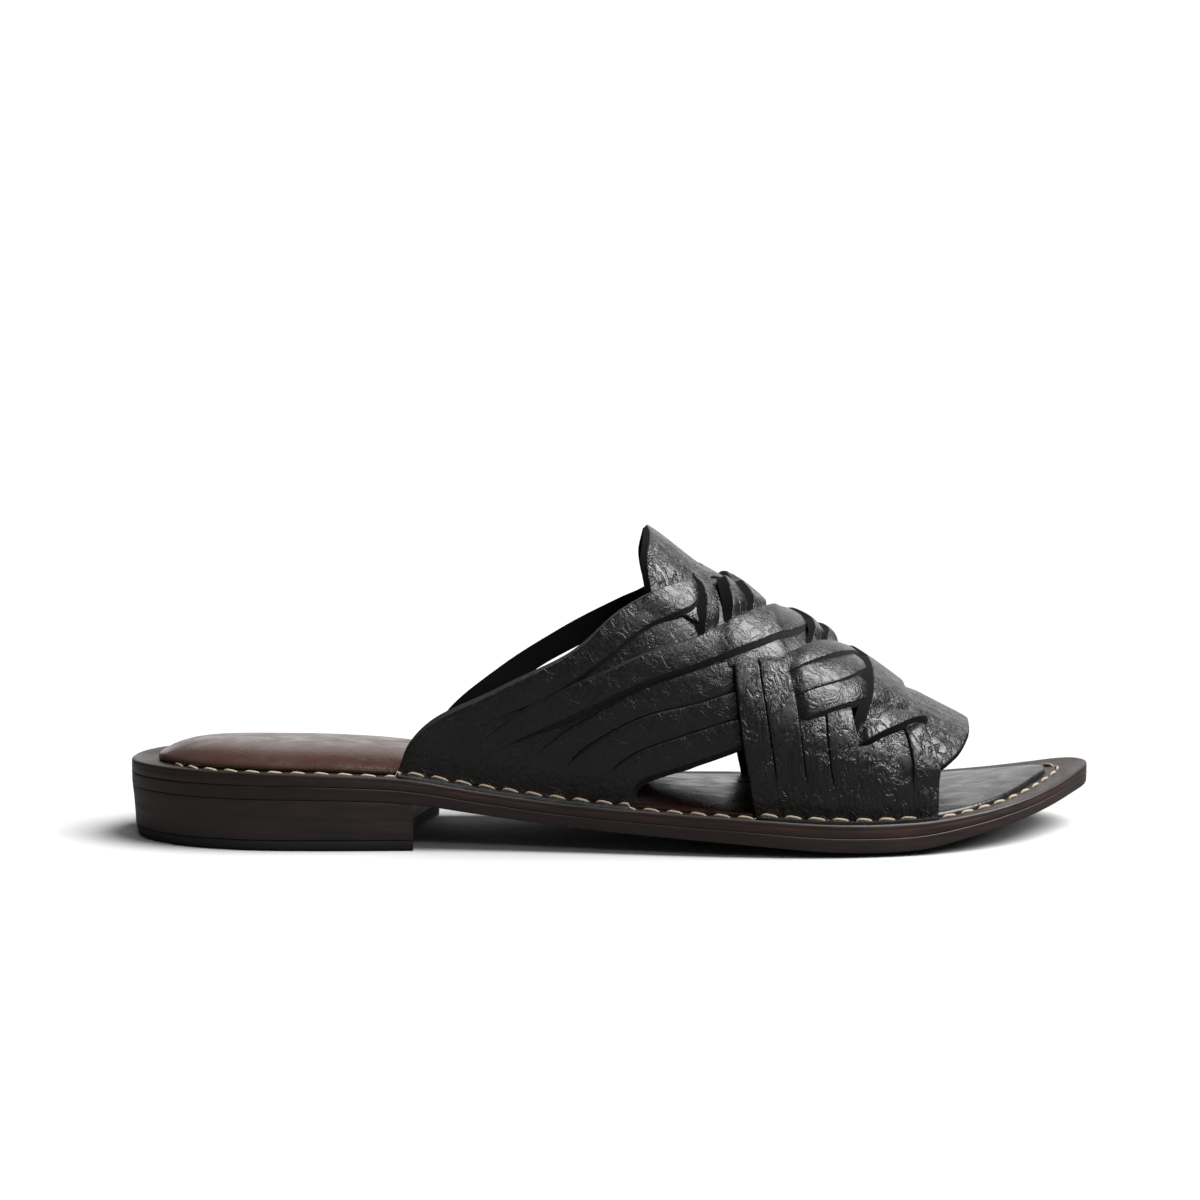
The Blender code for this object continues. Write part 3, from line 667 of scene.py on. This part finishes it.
def ribbon(strip, seed):
    """Leather band with rounded upper edges, cut sides and a flesh side."""
    woven = strip in REAR or strip in FRONT
    va, vb = sections(strip)
    v_mid = np.abs((va + vb) / 2)
    n = len(va)

    open_a = strip.opening(strip.slits[0], va)
    open_b = strip.opening(strip.slits[1], vb)
    steep_a = np.maximum(steep(strip.top, va), 0.25)
    steep_b = np.maximum(steep(strip.low, vb), 0.25)
    trim = strip.trim * ease((vb - 0.3) / 0.2)
    xa = strip.top(va) + (SLIT_GAP - strip.lap[0]) * open_a / steep_a
    xb = strip.low(vb) - (SLIT_GAP - strip.lap[1] + trim) * open_b / steep_b

    # the flesh side reaches beyond the grain side, by less where the top edge turns down at the sides
    reach = 1.0
    if strip.outward:
        reach = 0.30 + 0.70 * ease(v_mid / 0.16)
    elif woven:
        lost = 1 - min(1, PLAIN_BEVEL / max(strip.bevel[0], PLAIN_BEVEL))
        reach = 1 - ease((v_mid - strip.turn - 0.04) / 0.16) * lost
    deep_a = xa - strip.bevel[0] * open_a * reach / steep_a
    deep_b = xb + strip.bevel[1] * open_b / steep_b

    pa = raised(xa, va, np.zeros(n))
    pb = raised(xb, vb, np.zeros(n))
    width = np.linalg.norm(pb - pa, axis=1)
    run = run_of((pa + pb) / 2)
    opened = np.maximum(open_a, open_b) * ease((1.02 - v_mid) / 0.05)
    wobble = wave(seed, run, 0.011) * 0.00012 + wave(seed + 7, run, 0.0030) * strip.fold
    if strip.outward:
        side = ease((v_mid - 0.15) / 0.12)
    else:
        side = ease((v_mid - strip.turn) / (0.25 - 0.55 * (strip.turn - 0.30)))
    roll = strip.roll[0] * (1 - side) + strip.roll[1] * side

    rings = []
    uvs = []

    def add_ring(share, x_top, x_low, height, u_shift=0.0):
        x = x_top * (1 - share) + x_low * share
        v = va * (1 - share) + vb * share
        tilt = roll * STEP * (0.5 - share) * opened
        rings.append(raised(x, v, strip.level(x, v) * STEP + height + tilt + wobble * opened))
        uvs.append(np.stack([run, share * width + u_shift], -1))

    across = [(d / width, fall * open_a) for d, fall in SHOULDER]
    across += [(np.full(n, share), 0.0) for share in np.linspace(0, 1, 9)[1:-1]]
    across += [(1 - d / width, fall * open_b) for d, fall in SHOULDER[::-1]]
    for share, fall in across:
        add_ring(share, xa, xb, LEATHER - fall + DOME * 4 * share * (1 - share) * opened)
    for share in (1.0, 0.75, 0.5, 0.25, 0.0):
        add_ring(np.full(n, share), deep_a, deep_b, 0.0, 0.05)

    m = len(rings)
    last_grain = len(across) - 1
    grain, cut, flesh = 0, 1, 2
    one_row = [grain] * last_grain + [cut] + [flesh] * (m - last_grain - 2) + [cut]
    faces = tube(n, m, inward=True)
    faces.append(tuple(range(m)))
    faces.append(tuple(range((n - 1) * m, n * m))[::-1])
    # all strips but the rear ones take the dark flesh material on their cut sides: painted shade on those
    # edges
    ob = new_mesh(
        "weave_" + strip.name,
        np.stack(rings, 1).reshape(-1, 3),
        faces,
        (SKINS[strip.skin], CUT if strip in REAR else FLESH_AND_SHADED_CUT, FLESH_AND_SHADED_CUT),
        one_row * (n - 1) + [cut, cut],
        np.stack(uvs, 1).reshape(-1, 2),
    )
    # keep the corner between grain and cut side crisp
    mesh = ob.data
    sharp = mesh.attributes.new("sharp_edge", "BOOLEAN", "EDGE")
    verts = np.empty(len(mesh.edges) * 2, int)
    mesh.edges.foreach_get("vertices", verts)
    place = verts.reshape(-1, 2) % m
    corners = [0, last_grain, last_grain + 1, m - 1]
    sharp.data.foreach_set("value", (place[:, 0] == place[:, 1]) & np.isin(place[:, 0], corners))
    own(ob, "upper")


def shader(name, colour, roughness, specular=0.5):
    material = bpy.data.materials.new(name)
    material.use_nodes = True
    tree = material.node_tree
    bsdf = tree.nodes["Principled BSDF"]
    bsdf.inputs["Base Color"].default_value = (*colour, 1)
    bsdf.inputs["Roughness"].default_value = roughness
    bsdf.inputs["Specular IOR Level"].default_value = specular
    return material, tree, bsdf


def node(tree, kind, **inputs):
    made = tree.nodes.new(kind)
    for key, value in inputs.items():
        made.inputs[key.replace("_", " ")].default_value = value
    return made


def multiply_add(tree, socket, factor, added):
    """Socket of socket * factor + added, where added is a socket or a number."""
    made = node(tree, "ShaderNodeMath")
    made.operation = "MULTIPLY_ADD"
    made.inputs[1].default_value = factor
    tree.links.new(socket, made.inputs[0])
    if isinstance(added, float):
        made.inputs[2].default_value = added
    else:
        tree.links.new(added, made.inputs[2])
    return made.outputs[0]


def noise(tree, source, scale, detail=3.0, rough=0.55, stretch=(1, 1, 1), distortion=0.0):
    """Noise texture on object coordinates. Returns its output socket."""
    mapping = node(tree, "ShaderNodeMapping", Scale=stretch)
    tree.links.new(source, mapping.inputs["Vector"])
    tex = node(
        tree, "ShaderNodeTexNoise", Scale=scale, Detail=detail, Roughness=rough, Distortion=distortion
    )
    tree.links.new(mapping.outputs["Vector"], tex.inputs["Vector"])
    return tex.outputs["Fac"]


def cells(tree, source, scale, feature):
    """Distance to the points of a cell texture."""
    tex = node(tree, "ShaderNodeTexVoronoi", Scale=scale)
    tex.feature = feature
    tree.links.new(source, tex.inputs["Vector"])
    return tex.outputs["Distance"]


def bump(tree, bsdf, *layers):
    """Chain of bumps, each with its socket, strength and distance in metres."""
    last_normal = None
    for socket, strength, distance in layers:
        made = node(tree, "ShaderNodeBump", Strength=strength, Distance=distance)
        tree.links.new(socket, made.inputs["Height"])
        if last_normal:
            tree.links.new(last_normal, made.inputs["Normal"])
        last_normal = made.outputs["Normal"]
    tree.links.new(last_normal, bsdf.inputs["Normal"])


def ramp(tree, socket, *stops):
    """Colour ramp from stops of a place and a colour or a grey."""
    made = node(tree, "ShaderNodeValToRGB")
    elements = made.color_ramp.elements
    while len(elements) < len(stops):
        elements.new(0.5)
    for element, (at, value) in zip(elements, stops):
        element.position = at
        element.color = (*value, 1) if isinstance(value, tuple) else (value, value, value, 1)
    tree.links.new(socket, made.inputs["Fac"])
    return made.outputs["Color"]


def to_range(tree, socket, low, high, from_low=0.3, from_high=0.7):
    made = node(
        tree, "ShaderNodeMapRange", From_Min=from_low, From_Max=from_high, To_Min=low, To_Max=high
    )
    tree.links.new(socket, made.inputs["Value"])
    return made.outputs["Result"]


def coordinates(tree, which="Object"):
    return node(tree, "ShaderNodeTexCoord").outputs[which]


def grain_leather(name, crease, pebble_size, roughness, tall=1.0):
    """Black oiled leather: cells of grain, wrinkles and a soft gloss on its high spots."""
    material, tree, bsdf = shader(name, (0.011, 0.0105, 0.0105), roughness)
    obj = coordinates(tree)
    upright = (1, 1, tall)
    pebble = cells(tree, obj, 1000 / pebble_size, "SMOOTH_F1")
    fine = noise(tree, obj, 1100, detail=4, rough=0.7)
    mid = noise(tree, obj, 620, detail=4, rough=0.6, distortion=0.4, stretch=upright)
    large = noise(tree, obj, 110, stretch=upright)
    folds = noise(tree, obj, 190, detail=4, distortion=1.2, stretch=upright)
    cracks = ramp(tree, folds, (0.42, 1.0), (0.49, 0.0), (0.56, 1.0))
    patch = noise(tree, obj, 60, detail=4)
    colour = ramp(tree, patch, (0.3, (0.0070, 0.0062, 0.0058)), (0.7, (0.0115, 0.0098, 0.0092)))
    tree.links.new(colour, bsdf.inputs["Base Color"])
    tree.links.new(to_range(tree, mid, roughness - 0.06, roughness + 0.12), bsdf.inputs["Roughness"])
    bump(
        tree,
        bsdf,
        (large, 0.6, 0.0009 * crease),
        (cracks, 0.7, 0.00024 * crease),
        (mid, 0.8, 0.00026),
        (pebble, -0.8, 0.00018 * crease),
        (fine, 0.8, 0.00010),
    )
    return material


def cut_leather():
    """Raw cut edge with its layers of fibre."""
    material, tree, bsdf = shader("cut_edge", (0.006, 0.006, 0.006), 0.75, specular=0.35)
    obj = coordinates(tree)
    fibre = noise(tree, obj, 1600, detail=5, rough=0.7)
    layers = noise(tree, obj, 420)
    colour = ramp(tree, layers, (0.3, (0.010, 0.0105, 0.0115)), (0.7, (0.022, 0.023, 0.026)))
    tree.links.new(colour, bsdf.inputs["Base Color"])
    bump(tree, bsdf, (fibre, 0.6, 0.00018))
    return material


def flesh_and_shaded_cut_leather():
    """Matt underside of the strips. It is also on the cut sides of all but the rear strips, where its
    darkness is painted shade.
    """
    material, tree, bsdf = shader("flesh_side_and_shaded_cut", (0.0055, 0.0052, 0.0052), 0.95, specular=0.15)
    nap = noise(tree, coordinates(tree), 1400, detail=5, rough=0.7)
    bump(tree, bsdf, (nap, 0.6, 0.0002))
    return material


def footbed_leather():
    """Red brown at the heel and black from the arch on, with a cloudy change between them."""
    material, tree, bsdf = shader("footbed_leather", (0.05, 0.02, 0.013), 0.3)
    obj = coordinates(tree)
    split = node(tree, "ShaderNodeSeparateXYZ")
    tree.links.new(obj, split.inputs["Vector"])
    cloud = noise(tree, obj, 22, detail=4, stretch=(0.6, 1.3, 1.0))
    along = multiply_add(tree, cloud, 0.05, split.outputs["X"])
    colour = ramp(
        tree,
        to_range(tree, along, 0.0, 1.0, -0.12, 0.17),
        (0.0, (0.048, 0.025, 0.019)),
        (0.30, (0.044, 0.018, 0.0125)),
        (0.45, (0.038, 0.0128, 0.0085)),
        (0.68, (0.027, 0.0105, 0.0078)),
        (0.80, (0.010, 0.008, 0.008)),
        (1.0, (0.010, 0.009, 0.009)),
    )
    tree.links.new(colour, bsdf.inputs["Base Color"])
    fine = noise(tree, obj, 1300, detail=4)
    wrinkle = noise(tree, obj, 150, detail=5, stretch=(0.8, 1.2, 1.0), distortion=0.6)
    pores = cells(tree, obj, 1100, "F1")
    tree.links.new(to_range(tree, wrinkle, 0.20, 0.42), bsdf.inputs["Roughness"])
    bump(tree, bsdf, (wrinkle, 0.12, 0.0003), (pores, 0.30, 0.00012), (fine, 0.25, 0.00008))
    return material


def edge_leather(name, dark, light, roughness):
    """Burnished edge of sole leather with streaks along it."""
    material, tree, bsdf = shader(name, dark, roughness)
    obj = coordinates(tree)
    streak = noise(tree, obj, 130, detail=5, rough=0.62, stretch=(0.35, 0.35, 4.0))
    blotch = noise(tree, obj, 30)
    mixed = multiply_add(tree, blotch, 0.55, multiply_add(tree, streak, 0.55, 0.0))
    tree.links.new(ramp(tree, mixed, (0.38, dark), (0.72, light)), bsdf.inputs["Base Color"])
    fine = noise(tree, obj, 900, detail=4, stretch=(0.5, 0.5, 2.0))
    tree.links.new(to_range(tree, streak, roughness - 0.08, roughness + 0.14), bsdf.inputs["Roughness"])
    bump(tree, bsdf, (streak, 0.30, 0.0004), (fine, 0.25, 0.00012))
    return material


def thread_material():
    """Twisted waxed thread, darker in the grooves of its twist as painted shade."""
    material, tree, bsdf = shader("waxed_thread", (0.5, 0.42, 0.3), 0.55)
    twist = node(tree, "ShaderNodeTexWave", Scale=1.2)
    twist.bands_direction = "DIAGONAL"
    tree.links.new(coordinates(tree, "UV"), twist.inputs["Vector"])
    # colour follows the twist's bump, dark where it is low: painted shade in the grooves between the plies
    colour = ramp(tree, twist.outputs["Fac"], (0.0, (0.20, 0.15, 0.09)), (0.5, (0.56, 0.47, 0.34)))
    tree.links.new(colour, bsdf.inputs["Base Color"])
    bump(tree, bsdf, (twist.outputs["Fac"], 0.6, 0.0003))
    return material


SKINS = {
    "plain": grain_leather("black_leather", 0.55, 0.9, 0.28),
    "pebbled": grain_leather("pebbled_leather", 1.4, 1.2, 0.27, tall=0.45),
    "folded": grain_leather("folded_leather", 1.9, 1.3, 0.29, tall=0.4),
}
CUT = cut_leather()
FLESH_AND_SHADED_CUT = flesh_and_shaded_cut_leather()
FOOTBED = footbed_leather()
RIM_EDGE = edge_leather("rim_edge", (0.0100, 0.0061, 0.0052), (0.026, 0.0140, 0.0106), 0.44)
MIDSOLE_EDGE = edge_leather("midsole_edge", (0.010, 0.006, 0.005), (0.046, 0.019, 0.012), 0.38)
OUTSOLE_EDGE = edge_leather("outsole_edge", (0.0098, 0.0064, 0.0058), (0.032, 0.0165, 0.0130), 0.42)
STACK = edge_leather("heel_stack", (0.0120, 0.0084, 0.0080), (0.040, 0.0245, 0.0205), 0.42)
RUBBER = edge_leather("lift_rubber", (0.008, 0.007, 0.007), (0.014, 0.012, 0.012), 0.6)
THREAD = thread_material()
for k, strip in enumerate(REAR + FRONT):
    ribbon(strip, 11 + k)
for k, strip in enumerate((flap_rear, arm_rear, flap_front, arm_front, arm_front_far)):
    ribbon(strip, 51 + k)


def loop_at(inset, count):
    """Closed outline at an inset, and the points of the middle line that a cap on it runs to."""
    lateral, medial = outline(inset, count)
    loop = np.concatenate([lateral, medial[-2:0:-1]])
    middle = (lateral + medial) / 2
    spine = np.concatenate([middle, middle[-2:0:-1]])
    short = 0.022
    spine[:, 0] = np.clip(spine[:, 0], loop[:, 0].min() + short, loop[:, 0].max() - short)
    spine[:, 1] = np.interp(spine[:, 0], middle[:, 0], middle[:, 1])
    return loop, spine


def layered(name, profile, materials, low_rows=0, cap_top=None, cap_low=None):
    """Sole layer from the side profile's rows of inset and height function, bottom to top, with caps.

    The lowest rows, low_rows of them, have the second material.
    """
    count = 8
    rings = []
    for inset, height in profile:
        loop, _ = loop_at(inset, count)
        rings.append(np.column_stack([loop, height(loop[:, 0], loop[:, 1])]))
    if cap_top:
        loop, spine = loop_at(profile[-1][0], count)
        for share in (0.97, 0.92, 0.85, 0.76, 0.64, 0.5, 0.34, 0.17, 0.0):
            xy = spine + (loop - spine) * share
            rings.append(np.column_stack([xy, cap_top(xy[:, 0], xy[:, 1], share)]))
    if cap_low:
        loop, spine = loop_at(profile[0][0], count)
        for share in (0.9, 0.72, 0.5, 0.25, 0.0):
            xy = spine + (loop - spine) * share
            rings.insert(0, np.column_stack([xy, cap_low(xy[:, 0], xy[:, 1])]))
    m = len(rings[0])
    indices = [1] * (low_rows * m) + [0] * ((len(rings) - 1 - low_rows) * m)
    return new_mesh(name, np.concatenate(rings), tube(len(rings), m), materials, indices)


def sole_layers():
    def lower(share, rise=0.0):
        """Height at a share of the sole's thickness below the rim."""
        return lambda x, y: np.maximum(rim(x, y) - sole_at(x, 4) * share + rise, 0.00001)

    def dished(inset):
        """Top of the rim, which sinks behind its edge, more at the heel than in front of it."""

        def height(x, y):
            at_heel = ease((0.30 - x / LENGTH) / 0.04) * ease((0.01 - y) / 0.01 + 0.4)
            return rim(x, y) - (0.0003 + 0.0006 * at_heel) * ease(inset / 0.004)

        return height

    flat_edge = 0.0006
    centre = dished(0.01)
    insets = (0.0018, 0.003, 0.0045, 0.006, 0.008, 0.0105)
    top_rows = [(inset, dished(inset - flat_edge)) for inset in insets]
    midsole = layered(
        "midsole_shown",
        [
            (0.00015, lower(0.5, 0.0001)),
            (0.00004, lower(0.5, 0.0002)),
            (0.0, lower(0.46)),
            (0.0, lower(0.34)),
            (0.0, lower(0.22)),
            (0.00008, lower(0.195)),
            (0.00002, lower(0.17)),
            (0.00005, lower(0.09)),
            (0.0002, lower(0.04)),
            (0.0007, lower(0.0)),
            *top_rows,
        ],
        (RIM_EDGE, MIDSOLE_EDGE),
        low_rows=5,
        cap_top=lambda x, y, share: centre(x, y),
    )
    outsole = layered(
        "outsole_shown",
        (
            (0.0004, lower(1.0)),
            (0.00014, lower(0.99)),
            (0.00005, lower(0.95)),
            (0.0, lower(0.80)),
            (0.0, lower(0.60)),
            (-0.00005, lower(0.535)),
            (0.00005, lower(0.506)),
            (0.0030, lower(0.504)),
        ),
        (OUTSOLE_EDGE,),
        cap_low=under,
    )
    own(midsole, "midsole")
    own(outsole, "outsole")


def footbed():
    """Padded footbed, highest at the heel."""
    crown = 0.0046
    side = 0.0012
    toe_back = 0.0048  # how far its tip stays behind the rim's own curve

    def top(x, y, share):
        along = 0.62 + 0.38 * np.cos(np.clip(x / LENGTH - 0.2, 0, 0.6) * math.pi / 0.6)
        return rim(x, y) + side + crown * along * (1 - share**3.2)

    def wall(rise):
        return lambda x, y: rim(x, y) + rise

    profile = (
        (FOOTBED_INSET + 0.0004, wall(-0.0008)),
        (FOOTBED_INSET - 0.0001, wall(-0.0004)),
        (FOOTBED_INSET - 0.0001, wall(0.0002)),
        (FOOTBED_INSET + 0.0001, wall(0.0007)),
        (FOOTBED_INSET + 0.0005, wall(side)),
    )
    pad = layered("footbed_shown", profile, (FOOTBED,), cap_top=top)
    for vertex in pad.data.vertices:
        x = vertex.co.x - SHIFT[0]
        y = vertex.co.y - SHIFT[1]
        back = toe_back * ease((x / LENGTH - 0.84) / 0.13)
        vertex.co.x -= back
        vertex.co.z += float(rim(x - back, y) - rim(x, y))
    own(pad, "insole")


def heel_ring(inset, height):
    """Outline of the heel, closed by its hollow breast."""
    lateral, medial = outline(inset, 8)
    breast = BREAST * LENGTH
    medial_breast = breast + BREAST_SKEW
    y0 = float(np.interp(breast, lateral[:, 0], lateral[:, 1]))
    y1 = float(np.interp(medial_breast, medial[:, 0], medial[:, 1]))
    keep_low = lateral[lateral[:, 0] < breast][::-1]
    keep_high = medial[1:][medial[1:, 0] < medial_breast]
    # even spacing keeps every ring the same length
    body = np.concatenate([[(breast, y0)], keep_low, keep_high, [(medial_breast, y1)]])
    run = run_of(body)
    t = np.linspace(0, run[-1], 121)
    body = np.column_stack([np.interp(t, run, body[:, 0]), np.interp(t, run, body[:, 1])])
    front = []
    for t in np.linspace(1, 0, 26)[1:-1]:
        hollow = BREAST_HOLLOW * math.sin(math.pi * t)
        front.append((breast + BREAST_SKEW * t - hollow, y0 + (y1 - y0) * t))
    ring = np.concatenate([body, np.array(front)])
    return np.column_stack([ring, height(ring[:, 0], ring[:, 1])])


def heel_piece(name, slot, material, rows):
    """Layer of the heel from rows of inset and height function, closed below and above."""
    rings = [heel_ring(inset, height) for inset, height in rows]
    lowest = rings[0]
    highest = rings[-1]
    for share in (0.7, 0.35, 0.0):
        rings.insert(0, lowest.mean(0) + (lowest - lowest.mean(0)) * share)
        rings.append(highest.mean(0) + (highest - highest.mean(0)) * share)
    ob = new_mesh(name, np.concatenate(rings), tube(len(rings), len(lowest), inward=True), (material,))
    ob.data.set_sharp_from_angle(angle=math.radians(40))
    own(ob, slot)


def heel():
    def between(share, rise=0.0):
        """Height at a share of the way from the lift to the outsole."""
        return lambda x, y: (LIFT + 0.0002) * (1 - share) + (under(x, y) - 0.0001) * share + rise

    def level(z):
        return lambda x, y: 0 * x + z

    heel_piece(
        "heel_block_shown",
        "heel_block",
        STACK,
        (
            (0.0010, between(0)),
            (0.00086, between(0, 0.0003)),
            (0.0008, between(0.25)),
            (0.0006, between(0.5)),
            (0.0004, between(0.75)),
            (0.0001, between(1, -0.0003)),
            (0.0002, between(1)),
        ),
    )
    heel_piece(
        "heel_lift_shown",
        "heel_lift",
        RUBBER,
        (
            (0.0022, level(0.0)),
            (0.0016, level(0.0003)),
            (0.0014, level(0.0009)),
            (0.0010, level(LIFT - 0.0006)),
            (0.00115, level(LIFT - 0.00005)),
        ),
    )


STITCH = 0.0069  # from one stitch to the next
THREAD_RADIUS = 0.00046
# share of LENGTH, distance of the stitches from the sole's edge
STITCH_LINE = (
    (0.0, 0.0094),
    (0.03, 0.0085),
    (0.07, 0.0062),
    (0.14, 0.0048),
    (0.30, 0.0048),
    (0.78, 0.0050),
    (0.83, 0.0064),
    (0.88, 0.0074),
    (0.95, 0.0084),
    (1.0, 0.0090),
)


def stitch_path():
    """Closed smooth line round the rim that the stitches follow."""
    loop, _ = loop_at(0.0, 24)
    inner, _ = loop_at(0.004, 24)
    inwards = inner - loop
    inwards /= np.linalg.norm(inwards, axis=1, keepdims=True)
    inset = np.interp(loop[:, 0] / LENGTH, column(STITCH_LINE, 0), column(STITCH_LINE, 1))
    path = loop + inwards * inset[:, None]
    for _ in range(90):
        path = (np.roll(path, 1, 0) + 2 * path + np.roll(path, -1, 0)) / 4
    return np.concatenate([path, path[:1]])


def stitch_base(px, py):
    """Height that a stitch lies on: the flanges, or a groove in the rim that is deeper at the heel."""
    middle = len(px) // 2
    medial = py[middle] >= (sole_at(px[middle], 1) + sole_at(px[middle], 2)) / 2
    ahead = MEDIAL_FORWARD if medial else 0.0
    s = px / LENGTH
    on_flange = ((s > 0.281 + ahead) & (s < 0.513 + ahead)) | ((s > 0.638) & (s < 0.8225))
    groove = 0.0003 + 0.0007 * ease((0.30 - s) / 0.04)
    return rim(px, py) + np.where(on_flange, LEATHER - SEAT, -groove)


def stitches():
    """Thick thread round the rim, a stitch every 7 mm, its ends sunk in the leather."""
    path = stitch_path()
    run = run_of(path)
    count = round(run[-1] / STITCH)
    pitch = run[-1] / count
    rng = np.random.default_rng(5)
    sides = 8
    t = np.linspace(-1, 1, 11)
    thick = THREAD_RADIUS * (1 - 0.5 * np.abs(t) ** 3)
    points = []
    faces = []
    uvs = []
    for k in range(count):
        half = pitch * 0.41 * rng.uniform(0.95, 1.04)
        skew = rng.uniform(-0.00018, 0.00018)
        at = ((k + 0.5) * pitch + t * half) % run[-1]
        px = np.interp(at, run, path[:, 0])
        py = np.interp(at, run, path[:, 1])
        lean = 0.00030 * t * np.sign(px[-1] - px[0])
        height = stitch_base(px, py) + 0.00030 - 0.0008 * np.abs(t) ** 4 - lean
        tangent = np.array([px[-1] - px[0], py[-1] - py[0]])
        tangent /= np.linalg.norm(tangent)
        normal = np.array([-tangent[1], tangent[0]])
        first = len(points)
        for i in range(len(t)):
            for j in range(sides):
                angle = 2 * math.pi * j / sides
                off = normal * (math.cos(angle) * thick[i] + skew * t[i])
                points.append((px[i] + off[0], py[i] + off[1], height[i] + math.sin(angle) * thick[i]))
                uvs.append((t[i] * 2.5 + k, j / sides * 3))
        faces += tube(len(t), sides, first)
        faces.append(tuple(range(first, first + sides))[::-1])
        faces.append(tuple(range(len(points) - sides, len(points))))
    own(new_mesh("rim_stitches", points, faces, (THREAD,), uvs=uvs))


sole_layers()
footbed()
heel()
stitches()

ROOM = 0.08  # the background as a light
BACKDROP = 1.05  # the background as the camera sees it
BOUNCE = 0.15  # the floor's grey as a reflector
# name, direction, strength, angle; the sweep is the lit white paper behind, seen in what faces up
SUNS = (
    ("overhead_box", (0.60, -0.06, 1.0), 5.8, 42),
    ("side_box", (0.85, -0.25, 0.62), 1.2, 24),
    ("front_box", (0.25, -0.80, 0.68), 0.4, 14),
    ("sweep", (0.05, 1.0, 0.30), 0.8, 60),
)


def white_floor():
    """Floor that is white to the camera and a darker grey as a reflector."""
    mesh = bpy.data.meshes.new("floor")
    mesh.from_pydata([(-4, -4, 0), (4, -4, 0), (4, 4, 0), (-4, 4, 0)], [], [(0, 1, 2, 3)])
    floor = bpy.data.objects.new("floor", mesh)
    bpy.context.collection.objects.link(floor)
    material, tree, bsdf = shader("floor_white", (0.95, 0.95, 0.955), 0.9, specular=0.0)
    seen = node(tree, "ShaderNodeLightPath").outputs["Is Camera Ray"]
    tree.links.new(ramp(tree, seen, (0.0, BOUNCE), (1.0, (0.55, 0.55, 0.553))), bsdf.inputs["Base Color"])
    mesh.materials.append(material)
    floor.location.z = -0.0002


def background():
    """White to the camera, dim as a light."""
    world = bpy.data.worlds.new("studio")
    bpy.context.scene.world = world
    world.use_nodes = True
    tree = world.node_tree
    back = tree.nodes["Background"]
    back.inputs["Color"].default_value = (1, 1, 1, 1)
    seen = node(tree, "ShaderNodeLightPath").outputs["Is Camera Ray"]
    tree.links.new(to_range(tree, seen, ROOM, BACKDROP, 0.0, 1.0), back.inputs["Strength"])


def suns():
    for name, towards, strength, angle in SUNS:
        light = bpy.data.lights.new(name, "SUN")
        light.energy = strength
        light.angle = math.radians(angle)
        ob = bpy.data.objects.new(name, light)
        bpy.context.collection.objects.link(ob)
        ob.rotation_euler = Vector(towards).to_track_quat("Z", "Y").to_euler()


def camera():
    """Camera of the photo, a little above the shoe and level with its length."""
    picture = 1200  # side of the picture in pixels
    pixels_per_mm = 3.30  # at the shoe
    back = 0.8
    up = 0.104
    look_at = (-0.0046, -0.0044, 0.045)
    look_at_row = 685  # row of the picture where that point lies
    data = bpy.data.cameras.new("photo_camera")
    ob = bpy.data.objects.new("photo_camera", data)
    bpy.context.collection.objects.link(ob)
    ob.location = (look_at[0], look_at[1] - back, look_at[2] + up)
    ob.rotation_euler = (math.pi / 2 - math.atan2(up, back), 0, 0)
    data.sensor_width = 36
    data.lens = data.sensor_width * pixels_per_mm * math.hypot(back, up) * 1000 / picture
    data.shift_y = (look_at_row - picture / 2) / picture
    data.clip_start = 0.05
    data.dof.use_dof = False
    bpy.context.scene.camera = ob


white_floor()
background()
suns()
camera()
bpy.context.scene.view_settings.view_transform = "Standard"
